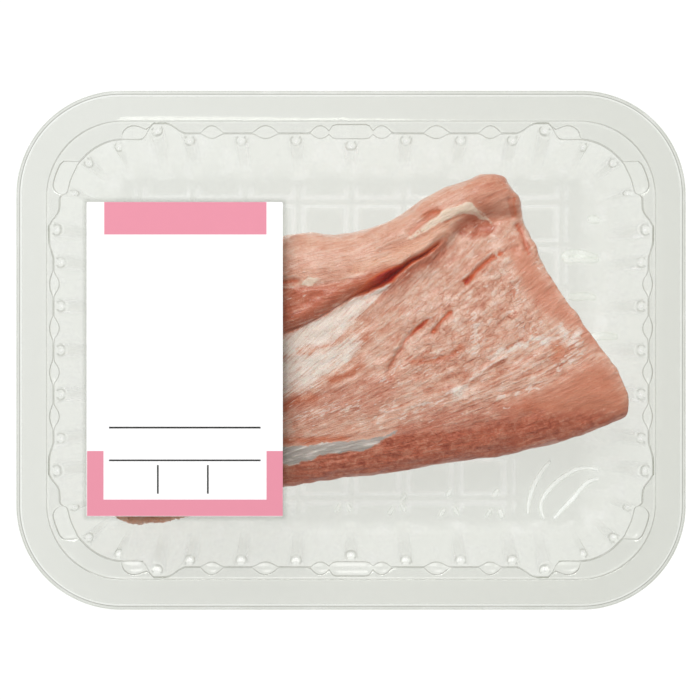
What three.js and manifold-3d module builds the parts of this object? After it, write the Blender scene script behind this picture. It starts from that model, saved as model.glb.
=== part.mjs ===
// A raw pork tenderloin in its retail pack: a thermoformed clear tray, the meat lying in it,
// a clear film sealed over the tray's flange, and a paper label on the film.
// Millimetres, +Z up. The origin is on the surface that the pack stands on, under the tray's middle;
// +X runs along the tray's length and +Y across it, as the pack is read with its label upright.

import * as THREE from "three";
import { ParametricGeometry } from "three/addons/geometries/ParametricGeometry.js";
import { mergeVertices } from "three/addons/utils/BufferGeometryUtils.js";
import Module from "manifold-3d";

// Driving dimensions

const TRAY = {
  length: 227,
  width: 176,
  height: 40,
  outerRadius: 35.5,
  sheet: 0.6,
  skirtDrop: 3,
  skirtRun: 1.2,
  flangeWidth: 10.5,
  mouthRadius: 26,
  ledgeDrop: 2.4,
  floorLength: 186,
  floorWidth: 134,
  floorRadius: 21,
  floorFillet: 3,
};

// The stepped ledge below the flange: how far it reaches in from the mouth's edge.
const LEDGE = {
  longSide: 3.3,
  shortSide: 2.6,
  corner: 6.2,
  bare: 0.6,
  crescent: 4.2,
  longSideEnd: 60,
  longCornerStart: 70.5,
  shortSideEnd: 35,
  shortCornerStart: 45,
};

// Half-round columns that stiffen the wall, by their pitch along each side and their count in a corner.
const COLUMNS = { longPitch: 18.7, shortPitch: 15, inCorner: 3, depthAtFoot: 1.9, depthAtHead: 1 };

const FLOOR_RIB = { width: 2.4, height: 0.9, length: 112, pitch: 18.7, count: 8 };

const FILM = { inset: 2.2, thickness: 0.2 };
const LABEL = { width: 66.3, height: 106.2, thickness: 0.2, centreX: -56.2, centreY: -3 };
const GAP = 0.3;

const STATIONS = { longSide: 44, shortSide: 28, corner: 9 };

// The meat's outline is given by sections across it, from its thin tail to its cut end. Each section
// runs from one edge of the muscle to the other, with the height of its underside and of its crest.
const MAIN_MUSCLE = {
  around: 30,
  along: 46,
  sections: [
    { upper: [-86.5, -49.5], lower: [-81.5, -58.5], base: 2.6, crest: 9 },
    { upper: [-80, -31], lower: [-67, -60.2], base: 2.2, crest: 17 },
    { upper: [-68, -8], lower: [-50, -55.8], base: 2.2, crest: 23 },
    { upper: [-54, 12], lower: [-34, -50], base: 2.2, crest: 27 },
    { upper: [-38, 26], lower: [-14, -46.2], base: 2.2, crest: 29.5 },
    { upper: [-18, 30], lower: [8.4, -43.2], base: 2.2, crest: 31 },
    { upper: [4, 33], lower: [30, -39.8], base: 2.2, crest: 31.5 },
    { upper: [26, 39], lower: [52.5, -36.8], base: 2.2, crest: 31.5 },
    { upper: [46, 46], lower: [76, -31.2], base: 4, crest: 30.5 },
    { upper: [58.4, 46], lower: [94.9, -23], base: 12, crest: 29 },
  ],
  valley: 0.3,
  cutFace: 0.1,
  cutBow: 6,
};

const SIDE_MUSCLE = {
  around: 22,
  along: 40,
  sections: [
    { upper: [-46, 20], lower: [-42, 4], base: 4, crest: 22 },
    { upper: [-35, 34], lower: [-30, -3], base: 2.6, crest: 29.5 },
    { upper: [-23.7, 39.2], lower: [-20, 1.5], base: 2.4, crest: 32.5 },
    { upper: [-12.5, 40.9], lower: [-8, 8], base: 2.4, crest: 33.5 },
    { upper: [-4.9, 40.2], lower: [3, 15], base: 2.8, crest: 34 },
    { upper: [3, 41], lower: [12, 20.5], base: 4, crest: 34 },
    { upper: [14, 44.8], lower: [19.5, 26], base: 6, crest: 34.5 },
    { upper: [24, 52.2], lower: [29.5, 33], base: 8, crest: 34.5 },
    { upper: [33.5, 56.3], lower: [36.5, 40], base: 10, crest: 34 },
    { upper: [44.3, 60], lower: [46, 45.5], base: 12, crest: 33 },
    { upper: [52.5, 60.4], lower: [54, 46.8], base: 13, crest: 31.5 },
    { upper: [58.2, 54.5], lower: [58.2, 48], base: 16, crest: 28 },
  ],
  valley: 0,
  cutFace: 0,
  cutBow: 0,
};

// Shared helpers

function smooth(from, to, value) {
  return THREE.MathUtils.smoothstep(value, Math.min(from, to), Math.max(from, to)) * (from < to ? 1 : -1)
    + (from < to ? 0 : 1);
}

// Merges the shared points of a geometry, and drops the triangles that a pole folds to a line.
function closedBody(geometry) {
  const bare = new THREE.BufferGeometry();
  bare.setAttribute("position", geometry.getAttribute("position"));
  bare.setIndex(geometry.getIndex());
  const merged = mergeVertices(bare, 1e-4);
  const index = merged.getIndex().array;
  const kept = [];
  for (let i = 0; i < index.length; i += 3) {
    const [a, b, c] = [index[i], index[i + 1], index[i + 2]];
    if (a !== b && b !== c && c !== a) kept.push(a, b, c);
  }
  merged.setIndex(kept);
  return merged;
}

function node(name, geometry, color, roughness, opacity = 1) {
  geometry.computeVertexNormals();
  const material = new THREE.MeshStandardMaterial({
    color,
    roughness,
    metalness: 0,
    opacity,
    transparent: opacity < 1,
  });
  const mesh = new THREE.Mesh(geometry, material);
  mesh.name = name;
  return mesh;
}

// Tray

// One station on every rounded rectangle round the tray: a place along its straight side or corner,
// and the direction that points straight out of it there.
function trayStations() {
  const stations = [];
  const sides = [
    { from: [1, -1], to: [1, 1], out: [1, 0], count: STATIONS.shortSide },
    { from: [1, 1], to: [-1, 1], out: [0, 1], count: STATIONS.longSide },
    { from: [-1, 1], to: [-1, -1], out: [-1, 0], count: STATIONS.shortSide },
    { from: [-1, -1], to: [1, -1], out: [0, -1], count: STATIONS.longSide },
  ];
  for (const { from, to, out, count } of sides) {
    for (let i = 0; i < count; i++) {
      const k = i / count;
      stations.push({
        along: [from[0] + (to[0] - from[0]) * k, from[1] + (to[1] - from[1]) * k],
        out,
        corner: 0,
      });
    }
    const start = Math.atan2(out[1], out[0]);
    for (let i = 0; i < STATIONS.corner; i++) {
      const k = i / STATIONS.corner;
      const angle = start + k * Math.PI / 2;
      stations.push({ along: to, out: [Math.cos(angle), Math.sin(angle)], corner: Math.sin(k * Math.PI) });
    }
  }
  return stations;
}

function contourPoint(halfX, halfY, radius, station) {
  return [
    station.along[0] * (halfX - radius) + station.out[0] * radius,
    station.along[1] * (halfY - radius) + station.out[1] * radius,
  ];
}

// How far the ledge reaches in at a place on the mouth's edge: a strip along the middle of each side,
// nothing near the side's end, and a wide crescent round the corner.
function ledgeReach(x, y) {
  const [ax, ay] = [Math.abs(x), Math.abs(y)];
  const onLongSide = ay > TRAY.width / 2 - TRAY.flangeWidth - 1 && ax < LEDGE.longCornerStart + 2;
  const onShortSide = ax > TRAY.length / 2 - TRAY.flangeWidth - 1 && ay < LEDGE.shortCornerStart + 2;
  if (onLongSide) {
    const strip = LEDGE.longSide * smooth(LEDGE.longSideEnd + 1.5, LEDGE.longSideEnd - 1.5, ax);
    const crescent = LEDGE.crescent * smooth(LEDGE.longCornerStart - 1.5, LEDGE.longCornerStart + 2, ax);
    return LEDGE.bare + strip + crescent;
  }
  if (onShortSide) {
    const strip = LEDGE.shortSide * smooth(LEDGE.shortSideEnd + 1.5, LEDGE.shortSideEnd - 1.5, ay);
    const crescent = LEDGE.crescent * smooth(LEDGE.shortCornerStart - 1.5, LEDGE.shortCornerStart + 2, ay);
    return LEDGE.bare + strip + crescent;
  }
  return LEDGE.corner;
}

// +1 on the middle of a column, -1 midway between two of them.
function columnWave([x, y], station) {
  if (station.corner > 0) {
    return Math.cos(Math.atan2(station.out[1], station.out[0]) * 4 * COLUMNS.inCorner);
  }
  const onLongSide = Math.abs(station.out[1]) > 0.5;
  return Math.cos((onLongSide ? x / COLUMNS.longPitch : y / COLUMNS.shortPitch) * 2 * Math.PI);
}

// The tray's inner face as rings, from the skirt's foot up over the flange and down to the floor.
const TRAY_RINGS = ["skirtFoot", "flangeOuter", "mouth", "ledgeOuter", "ledgeInner", "wallTop",
  "wallFoot", "floorEdge", "floorCentre"];

function trayPoint(ring, station) {
  const inset = (by, radius) => contourPoint(TRAY.length / 2 - by, TRAY.width / 2 - by, radius, station);
  const mouth = (by) => inset(TRAY.flangeWidth + by, Math.max(TRAY.mouthRadius - by, 8));
  const floor = (by) => contourPoint(
    TRAY.floorLength / 2 - by,
    TRAY.floorWidth / 2 - by,
    TRAY.floorRadius - by,
    station,
  );
  const reach = ledgeReach(...mouth(0));
  const ledgeHeight = TRAY.height - TRAY.ledgeDrop;
  switch (ring) {
    case "skirtFoot": return [...inset(0, TRAY.outerRadius), TRAY.height - TRAY.skirtDrop];
    case "flangeOuter": return [...inset(TRAY.skirtRun, TRAY.outerRadius - TRAY.skirtRun), TRAY.height];
    case "mouth": return [...mouth(0), TRAY.height];
    case "ledgeOuter": return [...mouth(0.5), ledgeHeight + 0.2];
    case "ledgeInner": {
      const wave = columnWave(mouth(reach), station);
      return [...mouth(reach - Math.min(0, wave) * 0.6), ledgeHeight];
    }
    case "wallTop": {
      const wave = columnWave(mouth(reach), station);
      return [...mouth(reach + 0.8 + wave * COLUMNS.depthAtHead / 2), ledgeHeight - 3];
    }
    case "wallFoot": {
      const wave = columnWave(floor(0), station);
      return [...floor(wave * COLUMNS.depthAtFoot / 2), TRAY.sheet + TRAY.floorFillet];
    }
    case "floorEdge": return [...floor(TRAY.floorFillet), TRAY.sheet];
    default: return [0, 0, TRAY.sheet];
  }
}

// The sheet's inner face, then the same rings set back by the sheet's thickness, as one closed skin.
function traySkin() {
  const stations = trayStations();
  const count = stations.length;
  const face = TRAY_RINGS.map((ring) => stations.map((station) => new THREE.Vector3(...trayPoint(ring, station))));
  const last = TRAY_RINGS.length - 1;
  const normalAt = (ring, i) => {
    if (ring >= last - 1) return new THREE.Vector3(0, 0, 1);
    const alongLoop = face[ring][(i + 1) % count].clone().sub(face[ring][(i + count - 1) % count]);
    const inward = new THREE.Vector3();
    if (ring < last) inward.add(face[ring + 1][i].clone().sub(face[ring][i]).normalize());
    if (ring > 0) inward.add(face[ring][i].clone().sub(face[ring - 1][i]).normalize());
    return new THREE.Vector3().crossVectors(alongLoop, inward).normalize();
  };
  const back = face.map((ring, r) => ring.map((point, i) => (
    point.clone().addScaledVector(normalAt(r, i), -TRAY.sheet)
  )));
  const loops = [...back.slice().reverse(), ...face];
  const place = (u, v, target) => {
    const i = Math.round(u * count) % count;
    target.copy(loops[Math.round(v * (loops.length - 1))][i]);
  };
  return closedBody(new ParametricGeometry(place, count, loops.length - 1));
}

function floorRib(x) {
  const foot = FLOOR_RIB.width / 2;
  const head = foot * 0.6;
  const shape = new THREE.Shape();
  shape.moveTo(-foot, -TRAY.sheet / 2);
  shape.lineTo(foot, -TRAY.sheet / 2);
  shape.lineTo(foot, 0);
  shape.lineTo(head, FLOOR_RIB.height);
  shape.lineTo(-head, FLOOR_RIB.height);
  shape.lineTo(-foot, 0);
  shape.closePath();
  const rib = new THREE.ExtrudeGeometry(shape, { depth: FLOOR_RIB.length, bevelEnabled: false });
  rib.rotateX(Math.PI / 2);
  rib.translate(x, FLOOR_RIB.length / 2, TRAY.sheet);
  return closedBody(rib);
}

// Meat

// A smooth value along the sections, for a coordinate of an edge or a height.
function alongSections(sections, read) {
  const points = sections.map((section, i) => new THREE.Vector3(i, read(section), 0));
  const curve = new THREE.CatmullRomCurve3(points, false, "catmullrom", 0.5);
  return (t) => curve.getPoint(t).y;
}

// How far from the middle the tray's inner wall stands at a height, less a small clearance.
function wallRoom(z) {
  const clearance = 1.1;
  const foot = TRAY.floorLength / 2;
  const head = TRAY.length / 2 - TRAY.flangeWidth - LEDGE.shortSide - LEDGE.bare - 0.8;
  const k = THREE.MathUtils.clamp(z / (TRAY.height - TRAY.ledgeDrop - 3), 0, 1);
  return THREE.MathUtils.lerp(foot, head, k) - clearance;
}

// One muscle: rings drawn along the sections from its rounded tail to its head, which is rounded too,
// or cut to a flat face where cutFace gives that face a share of the rings.
function muscle({ around, along, sections, valley, cutFace, cutBow }) {
  const upperX = alongSections(sections, (s) => s.upper[0]);
  const upperY = alongSections(sections, (s) => s.upper[1]);
  const lowerX = alongSections(sections, (s) => s.lower[0]);
  const lowerY = alongSections(sections, (s) => s.lower[1]);
  const base = alongSections(sections, (s) => s.base);
  const crest = alongSections(sections, (s) => s.crest);
  const [widest, roundEnd] = [0.4, 0.06];
  const roundOff = (fromEnd) => (fromEnd < roundEnd ? Math.sqrt(1 - (1 - fromEnd / roundEnd) ** 2) : 1);
  const swellAt = (v) => {
    if (cutFace === 0) return roundOff(Math.min(v, 1 - v));
    return v > 1 - cutFace ? Math.min(1, ((1 - v) / cutFace) ** 0.7) : roundOff(v);
  };
  const place = (u, v, target) => {
    const t = Math.min(1, v / (1 - cutFace));
    const swell = swellAt(v);
    const angle = (Math.round(u * around) % around) / around * 2 * Math.PI;
    const across = Math.sign(Math.cos(angle)) * Math.abs(Math.cos(angle)) ** 0.8 * swell;
    const rise = Math.sin(angle);
    const k = (1 + across) / 2;
    const [low, high] = [base(t), crest(t)];
    const level = low + (high - low) * widest;
    const sunk = 1 - valley * smooth(0.5, 1, k);
    const z = rise > 0
      ? level + (high - level) * Math.abs(rise) ** 0.7 * swell * sunk
      : level - (level - low) * Math.abs(rise) ** 0.45 * swell;
    const bow = cutBow * t ** 9 * Math.sin(Math.PI * k ** 0.6) * (0.55 - k) / 0.45;
    const [x, y] = [
      THREE.MathUtils.lerp(lowerX(t), upperX(t), k) + bow * 0.87,
      THREE.MathUtils.lerp(lowerY(t), upperY(t), k) + bow * 0.49,
    ];
    target.set(Math.min(x, wallRoom(z)), y, z);
  };
  return closedBody(new ParametricGeometry(place, around, along));
}

// Film and label

function roundedPlate(length, width, radius, thickness) {
  const [hx, hy] = [length / 2, width / 2];
  const shape = new THREE.Shape();
  shape.moveTo(hx, -hy + radius);
  shape.lineTo(hx, hy - radius);
  shape.absarc(hx - radius, hy - radius, radius, 0, Math.PI / 2);
  shape.lineTo(-hx + radius, hy);
  shape.absarc(-hx + radius, hy - radius, radius, Math.PI / 2, Math.PI);
  shape.lineTo(-hx, -hy + radius);
  shape.absarc(-hx + radius, -hy + radius, radius, Math.PI, Math.PI * 1.5);
  shape.lineTo(hx - radius, -hy);
  shape.absarc(hx - radius, -hy + radius, radius, Math.PI * 1.5, Math.PI * 2);
  return new THREE.ExtrudeGeometry(shape, { depth: thickness, bevelEnabled: false, curveSegments: 12 });
}

// Solids are joined and cut here, and given back as plain geometry.
const wasm = await Module();
wasm.setup();

function toSolid(geometry) {
  const vertProperties = new Float32Array(geometry.getAttribute("position").array);
  const triVerts = new Uint32Array(geometry.getIndex().array);
  return new wasm.Manifold(new wasm.Mesh({ numProp: 3, vertProperties, triVerts }));
}

function toGeometry(solid) {
  const { vertProperties, triVerts } = solid.getMesh();
  const geometry = new THREE.BufferGeometry();
  geometry.setAttribute("position", new THREE.BufferAttribute(new Float32Array(vertProperties), 3));
  geometry.setIndex(new THREE.BufferAttribute(new Uint32Array(triVerts), 1));
  return geometry;
}

function buildTray() {
  let tray = toSolid(traySkin());
  for (let i = 0; i < FLOOR_RIB.count; i++) {
    const x = (i - (FLOOR_RIB.count - 1) / 2) * FLOOR_RIB.pitch;
    tray = tray.add(toSolid(floorRib(x)));
  }
  return node("tray", toGeometry(tray), 0xe6e9e3, 0.12, 0.35);
}

function buildTenderloin() {
  const meat = toSolid(muscle(MAIN_MUSCLE)).add(toSolid(muscle(SIDE_MUSCLE)));
  return node("tenderloin", toGeometry(meat), 0xd09a85, 0.42);
}

function buildFilm() {
  const radius = TRAY.outerRadius - FILM.inset;
  const film = roundedPlate(TRAY.length - 2 * FILM.inset, TRAY.width - 2 * FILM.inset, radius, FILM.thickness);
  film.translate(0, 0, TRAY.height + GAP);
  return node("top_film", closedBody(film), 0xf4f6f3, 0.08, 0.12);
}

function buildLabel() {
  const label = new THREE.BoxGeometry(LABEL.width, LABEL.height, LABEL.thickness);
  const height = TRAY.height + GAP + FILM.thickness + GAP + LABEL.thickness / 2;
  label.translate(LABEL.centreX, LABEL.centreY, height);
  return node("label", closedBody(label), 0xfafafa, 0.55);
}

const pack = new THREE.Group();
pack.add(buildTray(), buildTenderloin(), buildFilm(), buildLabel());

export default pack;
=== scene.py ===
# %% [markdown]
# # A raw pork tenderloin in its sealed pack
#
# The pack has four pieces: a clear tray that is vacuum-formed from one sheet of plastic, the raw meat, a clear film
# sealed over the tray's flange, and a paper label stuck on the film. The model of the pack's sizes comes first, as a
# fixed frame. Each of its plain solids is then replaced by a finer piece in the same place.

# %% Load the frame
import math

import bmesh
import bpy
import numpy as np
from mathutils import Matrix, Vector, noise


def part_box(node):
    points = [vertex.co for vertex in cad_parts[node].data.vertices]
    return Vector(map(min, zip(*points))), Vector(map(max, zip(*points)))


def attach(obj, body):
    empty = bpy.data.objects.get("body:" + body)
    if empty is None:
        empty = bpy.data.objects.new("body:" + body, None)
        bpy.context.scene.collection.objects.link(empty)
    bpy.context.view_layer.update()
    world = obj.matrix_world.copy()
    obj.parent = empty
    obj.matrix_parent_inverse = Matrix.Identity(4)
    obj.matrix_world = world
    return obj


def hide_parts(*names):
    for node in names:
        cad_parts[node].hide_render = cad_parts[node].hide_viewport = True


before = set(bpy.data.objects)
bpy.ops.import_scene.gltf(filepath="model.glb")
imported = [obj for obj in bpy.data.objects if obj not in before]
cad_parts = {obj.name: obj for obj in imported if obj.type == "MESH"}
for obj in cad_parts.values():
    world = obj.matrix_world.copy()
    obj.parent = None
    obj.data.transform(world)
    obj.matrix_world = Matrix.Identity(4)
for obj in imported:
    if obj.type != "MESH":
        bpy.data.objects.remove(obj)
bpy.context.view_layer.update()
MM = 0.001

# %% [markdown]
# ## Sizes that the pieces share
#
# Every size is a real one in millimetres. The tray's outline, height and film come from the frame, and what the frame
# doesn't say, such as the radius of a corner, is named here. The camera hangs straight above the pack, so a point seen in
# the picture can be placed on the model once its height is known: `seen` does that, and the lines on the meat use it.

# %% Shared sizes
tray_low, tray_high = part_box("tray")
film_low, film_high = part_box("top_film")
label_low, label_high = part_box("label")
meat_low, meat_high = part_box("tenderloin")

HALF_LENGTH = tray_high.x / MM
HALF_WIDTH = tray_high.y / MM
RIM_HEIGHT = tray_high.z / MM
SHEET = 0.45
DRAWN_SHEET = 0.22
OUTER_RADIUS = 35.5
FLANGE = 10.5
MOUTH_RADIUS = 26.0

CAMERA_ABOVE_RIM = 800.0
PICTURE_WIDTH = 236.8
PICTURE_PIXELS = 700
PICTURE_CENTRE = (351.0, 350.25)
PIXEL = PICTURE_WIDTH / PICTURE_PIXELS


def seen(points, height):
    """Places on the model, in mm, of points seen in the picture at a height above the table."""
    size = PIXEL * (CAMERA_ABOVE_RIM + RIM_HEIGHT - height) / CAMERA_ABOVE_RIM
    return np.array([((u - PICTURE_CENTRE[0]) * size, (PICTURE_CENTRE[1] - v) * size) for u, v in points])


def smooth(low, high, value):
    """0 below low, 1 above high, and an even slope without corners between them."""
    k = np.clip((value - low) / (high - low), 0.0, 1.0)
    return k * k * (3.0 - 2.0 * k)


def spline(values, t):
    """A smooth curve through evenly spaced values, for t from 0 to 1."""
    values = np.asarray(values, float)
    last = len(values) - 1
    place = np.clip(t, 0, 1) * last
    i = np.minimum(place.astype(int), last - 1)
    f = place - i
    if values.ndim > 1:
        i = i[..., 0]
    before, after = np.maximum(i - 1, 0), np.minimum(i + 2, last)
    a, b, c, d = values[before], values[i], values[i + 1], values[after]
    return b + 0.5 * f * (c - a + f * (2 * a - 5 * b + 4 * c - d + f * (3 * (b - c) + d - a)))


def line_measure(points, line):
    """For each point: its distance from a line in mm, how far along it lies (0 to 1), and the side it is on."""
    best = np.full(len(points), 1e9)
    share = np.zeros(len(points))
    side = np.zeros(len(points))
    lengths = np.linalg.norm(np.diff(line, axis=0), axis=1)
    total, done = lengths.sum(), 0.0
    for start, end, length in zip(line[:-1], line[1:], lengths):
        way = (end - start) / length
        off = points - start
        k = np.clip(off @ way, 0, length)
        gap = np.linalg.norm(off - k[:, None] * way, axis=1)
        nearer = gap < best
        best = np.where(nearer, gap, best)
        share = np.where(nearer, (done + k) / total, share)
        side = np.where(nearer, np.sign(way[0] * off[:, 1] - way[1] * off[:, 0]), side)
        done += length
    return best, share, side


print(f"one pixel at the rim is {PIXEL:.4f} mm; the tray is {2 * HALF_LENGTH:.0f} x {2 * HALF_WIDTH:.0f} mm")

# %% [markdown]
# ## Camera
#
# A product picture of a flat pack is taken from straight above with a long lens, so that the tray's walls hardly show.
# A lens is easier to reason about through what it frames: at the rim's height the picture is 237 mm wide.

# %% Camera
SENSOR = 36.0
camera_data = bpy.data.cameras.new("camera")
camera_data.sensor_width = SENSOR
camera_data.lens = SENSOR * CAMERA_ABOVE_RIM / PICTURE_WIDTH
camera_data.clip_end = 20.0
camera = bpy.data.objects.new("camera", camera_data)
bpy.context.collection.objects.link(camera)
picture_middle = PICTURE_PIXELS / 2
camera.location = (
    (picture_middle - PICTURE_CENTRE[0]) * PIXEL * MM,
    (PICTURE_CENTRE[1] - picture_middle) * PIXEL * MM,
    (RIM_HEIGHT + CAMERA_ABOVE_RIM) * MM,
)
bpy.context.scene.camera = camera
print(f"lens {camera_data.lens:.1f} mm")

# %% [markdown]
# ## Floor and studio light
#
# The pack lies on a plain white table that is lit until it is just white. Clear plastic shows by what it reflects
# and by the light it takes away, so the sky is grey, with a bright band low round the zenith and dark right overhead,
# and one large soft light stands at the upper left, where the meat's highlights come from.

# %% Floor and light
def linear(hex_colour, alpha=1.0):
    """An sRGB colour as hex text, as the linear values that a shader takes."""
    channels = [int(hex_colour[i:i + 2], 16) / 255 for i in (1, 3, 5)]
    return (*[c / 12.92 if c <= 0.04045 else ((c + 0.055) / 1.055) ** 2.4 for c in channels], alpha)


def add(tree, kind, inputs=None, **settings):
    """Adds one shader node, sets its options, and fills its inputs with values or links."""
    made = tree.nodes.new("ShaderNode" + kind)
    for name, value in settings.items():
        setattr(made, name, value)
    for name, value in (inputs or {}).items():
        if isinstance(value, bpy.types.NodeSocket):
            tree.links.new(value, made.inputs[name])
        else:
            made.inputs[name].default_value = value
    return made


def new_material(name):
    material = bpy.data.materials.new(name)
    material.use_nodes = True
    material.node_tree.nodes.clear()
    return material, material.node_tree


def soft_light(name, place, size, power):
    data = bpy.data.lights.new(name, "AREA")
    data.shape = "DISK"
    data.size = size
    data.energy = power
    light = bpy.data.objects.new(name, data)
    light.location = place
    light.rotation_euler = (-Vector(place)).to_track_quat("-Z", "Y").to_euler()
    bpy.context.collection.objects.link(light)
    return light


FLOOR_SIZE = 6.0
bpy.ops.mesh.primitive_plane_add(size=FLOOR_SIZE, location=(0, 0, -0.0004))
floor = bpy.context.object
floor.name = "floor"
floor_material, tree = new_material("opal_acrylic_table")
speckle = add(tree, "TexNoise", {"Scale": 40.0, "Detail": 2.0})
tint = add(tree, "Mix", {"Factor": speckle.outputs["Fac"]}, data_type="RGBA")
tint.inputs["A"].default_value = linear("#737473")
tint.inputs["B"].default_value = linear("#757575")
surface = add(tree, "BsdfPrincipled", {
    "Base Color": tint.outputs["Result"],
    "Roughness": 0.9,
    "Specular IOR Level": 0.0,
    "Emission Color": linear("#ffffff"),
    "Emission Strength": 0.88,
})
add(tree, "OutputMaterial", {"Surface": surface.outputs[0]})
floor.data.materials.append(floor_material)

world = bpy.data.worlds.new("studio")
world.use_nodes = True
sky_tree = world.node_tree
direction = add(sky_tree, "TexCoord").outputs["Generated"]
up = add(sky_tree, "SeparateXYZ", {"Vector": direction}).outputs["Z"]
ramp = add(sky_tree, "ValToRGB", {"Fac": up})
stops = ramp.color_ramp.elements
stops.remove(stops[1])
for place, grey in ((0.0, 0.30), (0.6, 0.42), (0.74, 0.90), (0.94, 0.90), (0.985, 0.12), (1.0, 0.12)):
    stop = stops[0] if place == 0.0 else stops.new(place)
    stop.position = place
    stop.color = (grey, grey, grey, 1)
sky_tree.links.new(ramp.outputs["Color"], sky_tree.nodes["Background"].inputs["Color"])
bpy.context.scene.world = world

soft_light("key_light", (-0.25, 0.95, 1.4), 1.1, 19.0)
bpy.context.scene.view_settings.view_transform = "Standard"
bpy.context.scene.cycles.max_bounces = 12
bpy.context.scene.cycles.transparent_max_bounces = 24

# %% [markdown]
# ## Tray: how it is shaped
#
# Vacuum forming pulls one warm sheet over a mould. The result is a single skin: a turned-down skirt, a flat flange for
# the seal, a stepped ledge, a wall stiffened by half-round columns, and an embossed floor. A skin like this could be
# extruded ring by ring. Here it starts as a flat grid whose rows become the rings, because every ring has the same
# stations, and each vertex only has to be moved to its place on its own rounded rectangle.

# %% Tray: stations and rings
LONG_STATIONS = 196
SHORT_STATIONS = 136
CORNER_STATIONS = 44
FLOOR_HALF = (93.0, 67.0)
FLOOR_RADIUS = 15.7
LONG_PITCH = 18.7
SHORT_PITCH = 15.0
LONG_COLUMNS = [s * p for p in (0.0, 18.7, 37.4, 55.0, 66.0) for s in (-1, 1)]
SHORT_COLUMNS = [s * p for p in (0.0, 15.0, 30.0, 41.0) for s in (-1, 1)]
CORNER_COLUMNS = [math.radians(a) for a in (6.0, 45.0, 84.0)]
COLUMN_HALF = 2.3
COLUMN_HALF_ANGLE = 0.104


def gathered(shares, half_run, centres, reach, times):
    """Places from -1 to 1 for shares of a run, several times as close together near the centres as elsewhere."""
    fine = np.linspace(-half_run, half_run, 4000)
    near = np.minimum.reduce([np.abs(fine - centre) for centre in centres])
    crowd = np.cumsum(1.0 + (times - 1.0) * (near < reach))
    return np.interp(shares, (crowd - crowd[0]) / (crowd[-1] - crowd[0]), fine / half_run)


def tray_stations():
    """(share along the straight side or corner, direction straight out) for each station, once round."""
    long_side = gathered(np.arange(LONG_STATIONS) / LONG_STATIONS, HALF_LENGTH - OUTER_RADIUS, LONG_COLUMNS, 2.5, 3.0)
    short_side = gathered(np.arange(SHORT_STATIONS) / SHORT_STATIONS, HALF_WIDTH - OUTER_RADIUS, SHORT_COLUMNS, 2.5, 3.0)
    eighth = math.pi / 4
    corner = gathered(np.arange(CORNER_STATIONS) / CORNER_STATIONS, eighth, np.array(CORNER_COLUMNS) - eighth, 0.115, 3.0)
    sides = [
        ((1, -1), (1, 1), (1, 0), short_side),
        ((1, 1), (-1, 1), (0, 1), long_side),
        ((-1, 1), (-1, -1), (-1, 0), short_side),
        ((-1, -1), (1, -1), (0, -1), long_side),
    ]
    along, out = [], []
    for start, end, side, stops in sides:
        for k in (stops + 1) / 2:
            along.append([start[a] + (end[a] - start[a]) * k for a in (0, 1)])
            out.append(side)
        first = math.atan2(side[1], side[0])
        for k in corner:
            angle = first + (k + 1) * eighth
            along.append(end)
            out.append((math.cos(angle), math.sin(angle)))
    return np.array(along, float), np.array(out, float)


ALONG, OUT = tray_stations()
STATION_COUNT = len(ALONG)


def contour(half_x, half_y, radius):
    """The stations on a rounded rectangle. Its sizes may be one value or one for each station."""
    half = np.stack(np.broadcast_arrays(half_x, half_y), -1)
    corner = np.reshape(radius, (-1, 1))
    return ALONG * (half - corner) + OUT * corner


def inset(by, radius=None):
    """The tray's outline drawn in by a distance."""
    corner = OUTER_RADIUS - by if radius is None else radius
    return contour(HALF_LENGTH - by, HALF_WIDTH - by, corner)


def mouth(by):
    """The mouth's edge drawn in by a distance, which may differ from station to station."""
    return inset(FLANGE + by, np.maximum(MOUTH_RADIUS - by, 6.0))


print(f"{STATION_COUNT} stations round the tray")

# %% [markdown]
# ## Tray: ledge, pockets and columns
#
# Below the flange runs a narrow ledge. It is wider round each corner and is interrupted near the ends of each side.
# Lens-shaped pockets are sunk across its edge, with one long pocket in the middle of each long side and a rounder one at
# each corner: they keep stacked trays from jamming. For each station it is enough to know how far in a pocket starts
# and how far in it ends. Where there is no pocket the two are the same, and the pocket has no width.

# %% Tray: ledge and pockets
LEDGE_DROP = 2.4
POCKET_DROP = 1.3
LEDGE = {"long": 3.4, "short": 1.5, "corner": 6.3, "bare": 0.3}
LONG_STRIP_END = 60.0
LONG_CORNER_START = 69.0
SHORT_STRIP_END = 34.5
SHORT_CORNER_START = 44.5
LONG_LENSES = [(s * p, half) for p, half in ((10.4, 3.4), (29.0, 4.1), (47.3, 3.5)) for s in (-1, 1)]
SHORT_LENSES = [(s * p, 4.0) for p in (7.5, 22.5) for s in (-1, 1)]

edge = mouth(0.0)
on_long = np.abs(OUT[:, 1]) > 0.999
on_short = np.abs(OUT[:, 0]) > 0.999
on_corner = ~(on_long | on_short)
corner_angle = np.arctan2(np.abs(OUT[:, 1]), np.abs(OUT[:, 0]))
run = np.where(on_long, edge[:, 0], edge[:, 1])
side_run = np.abs(run)


def lens(pockets):
    """1 in the middle of a lens-shaped pocket, falling to 0 at its two points."""
    return np.maximum.reduce([np.clip(1.0 - ((run - centre) / half) ** 2, 0, 1) for centre, half in pockets])


def slot_end(value, low, high, corner):
    """1 between two ends, with ends rounded over a length, and 0 outside."""
    inward = np.minimum(value - low, high - value) / corner
    return np.sqrt(1 - (1 - np.clip(inward, 0, 1)) ** 2)


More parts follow.
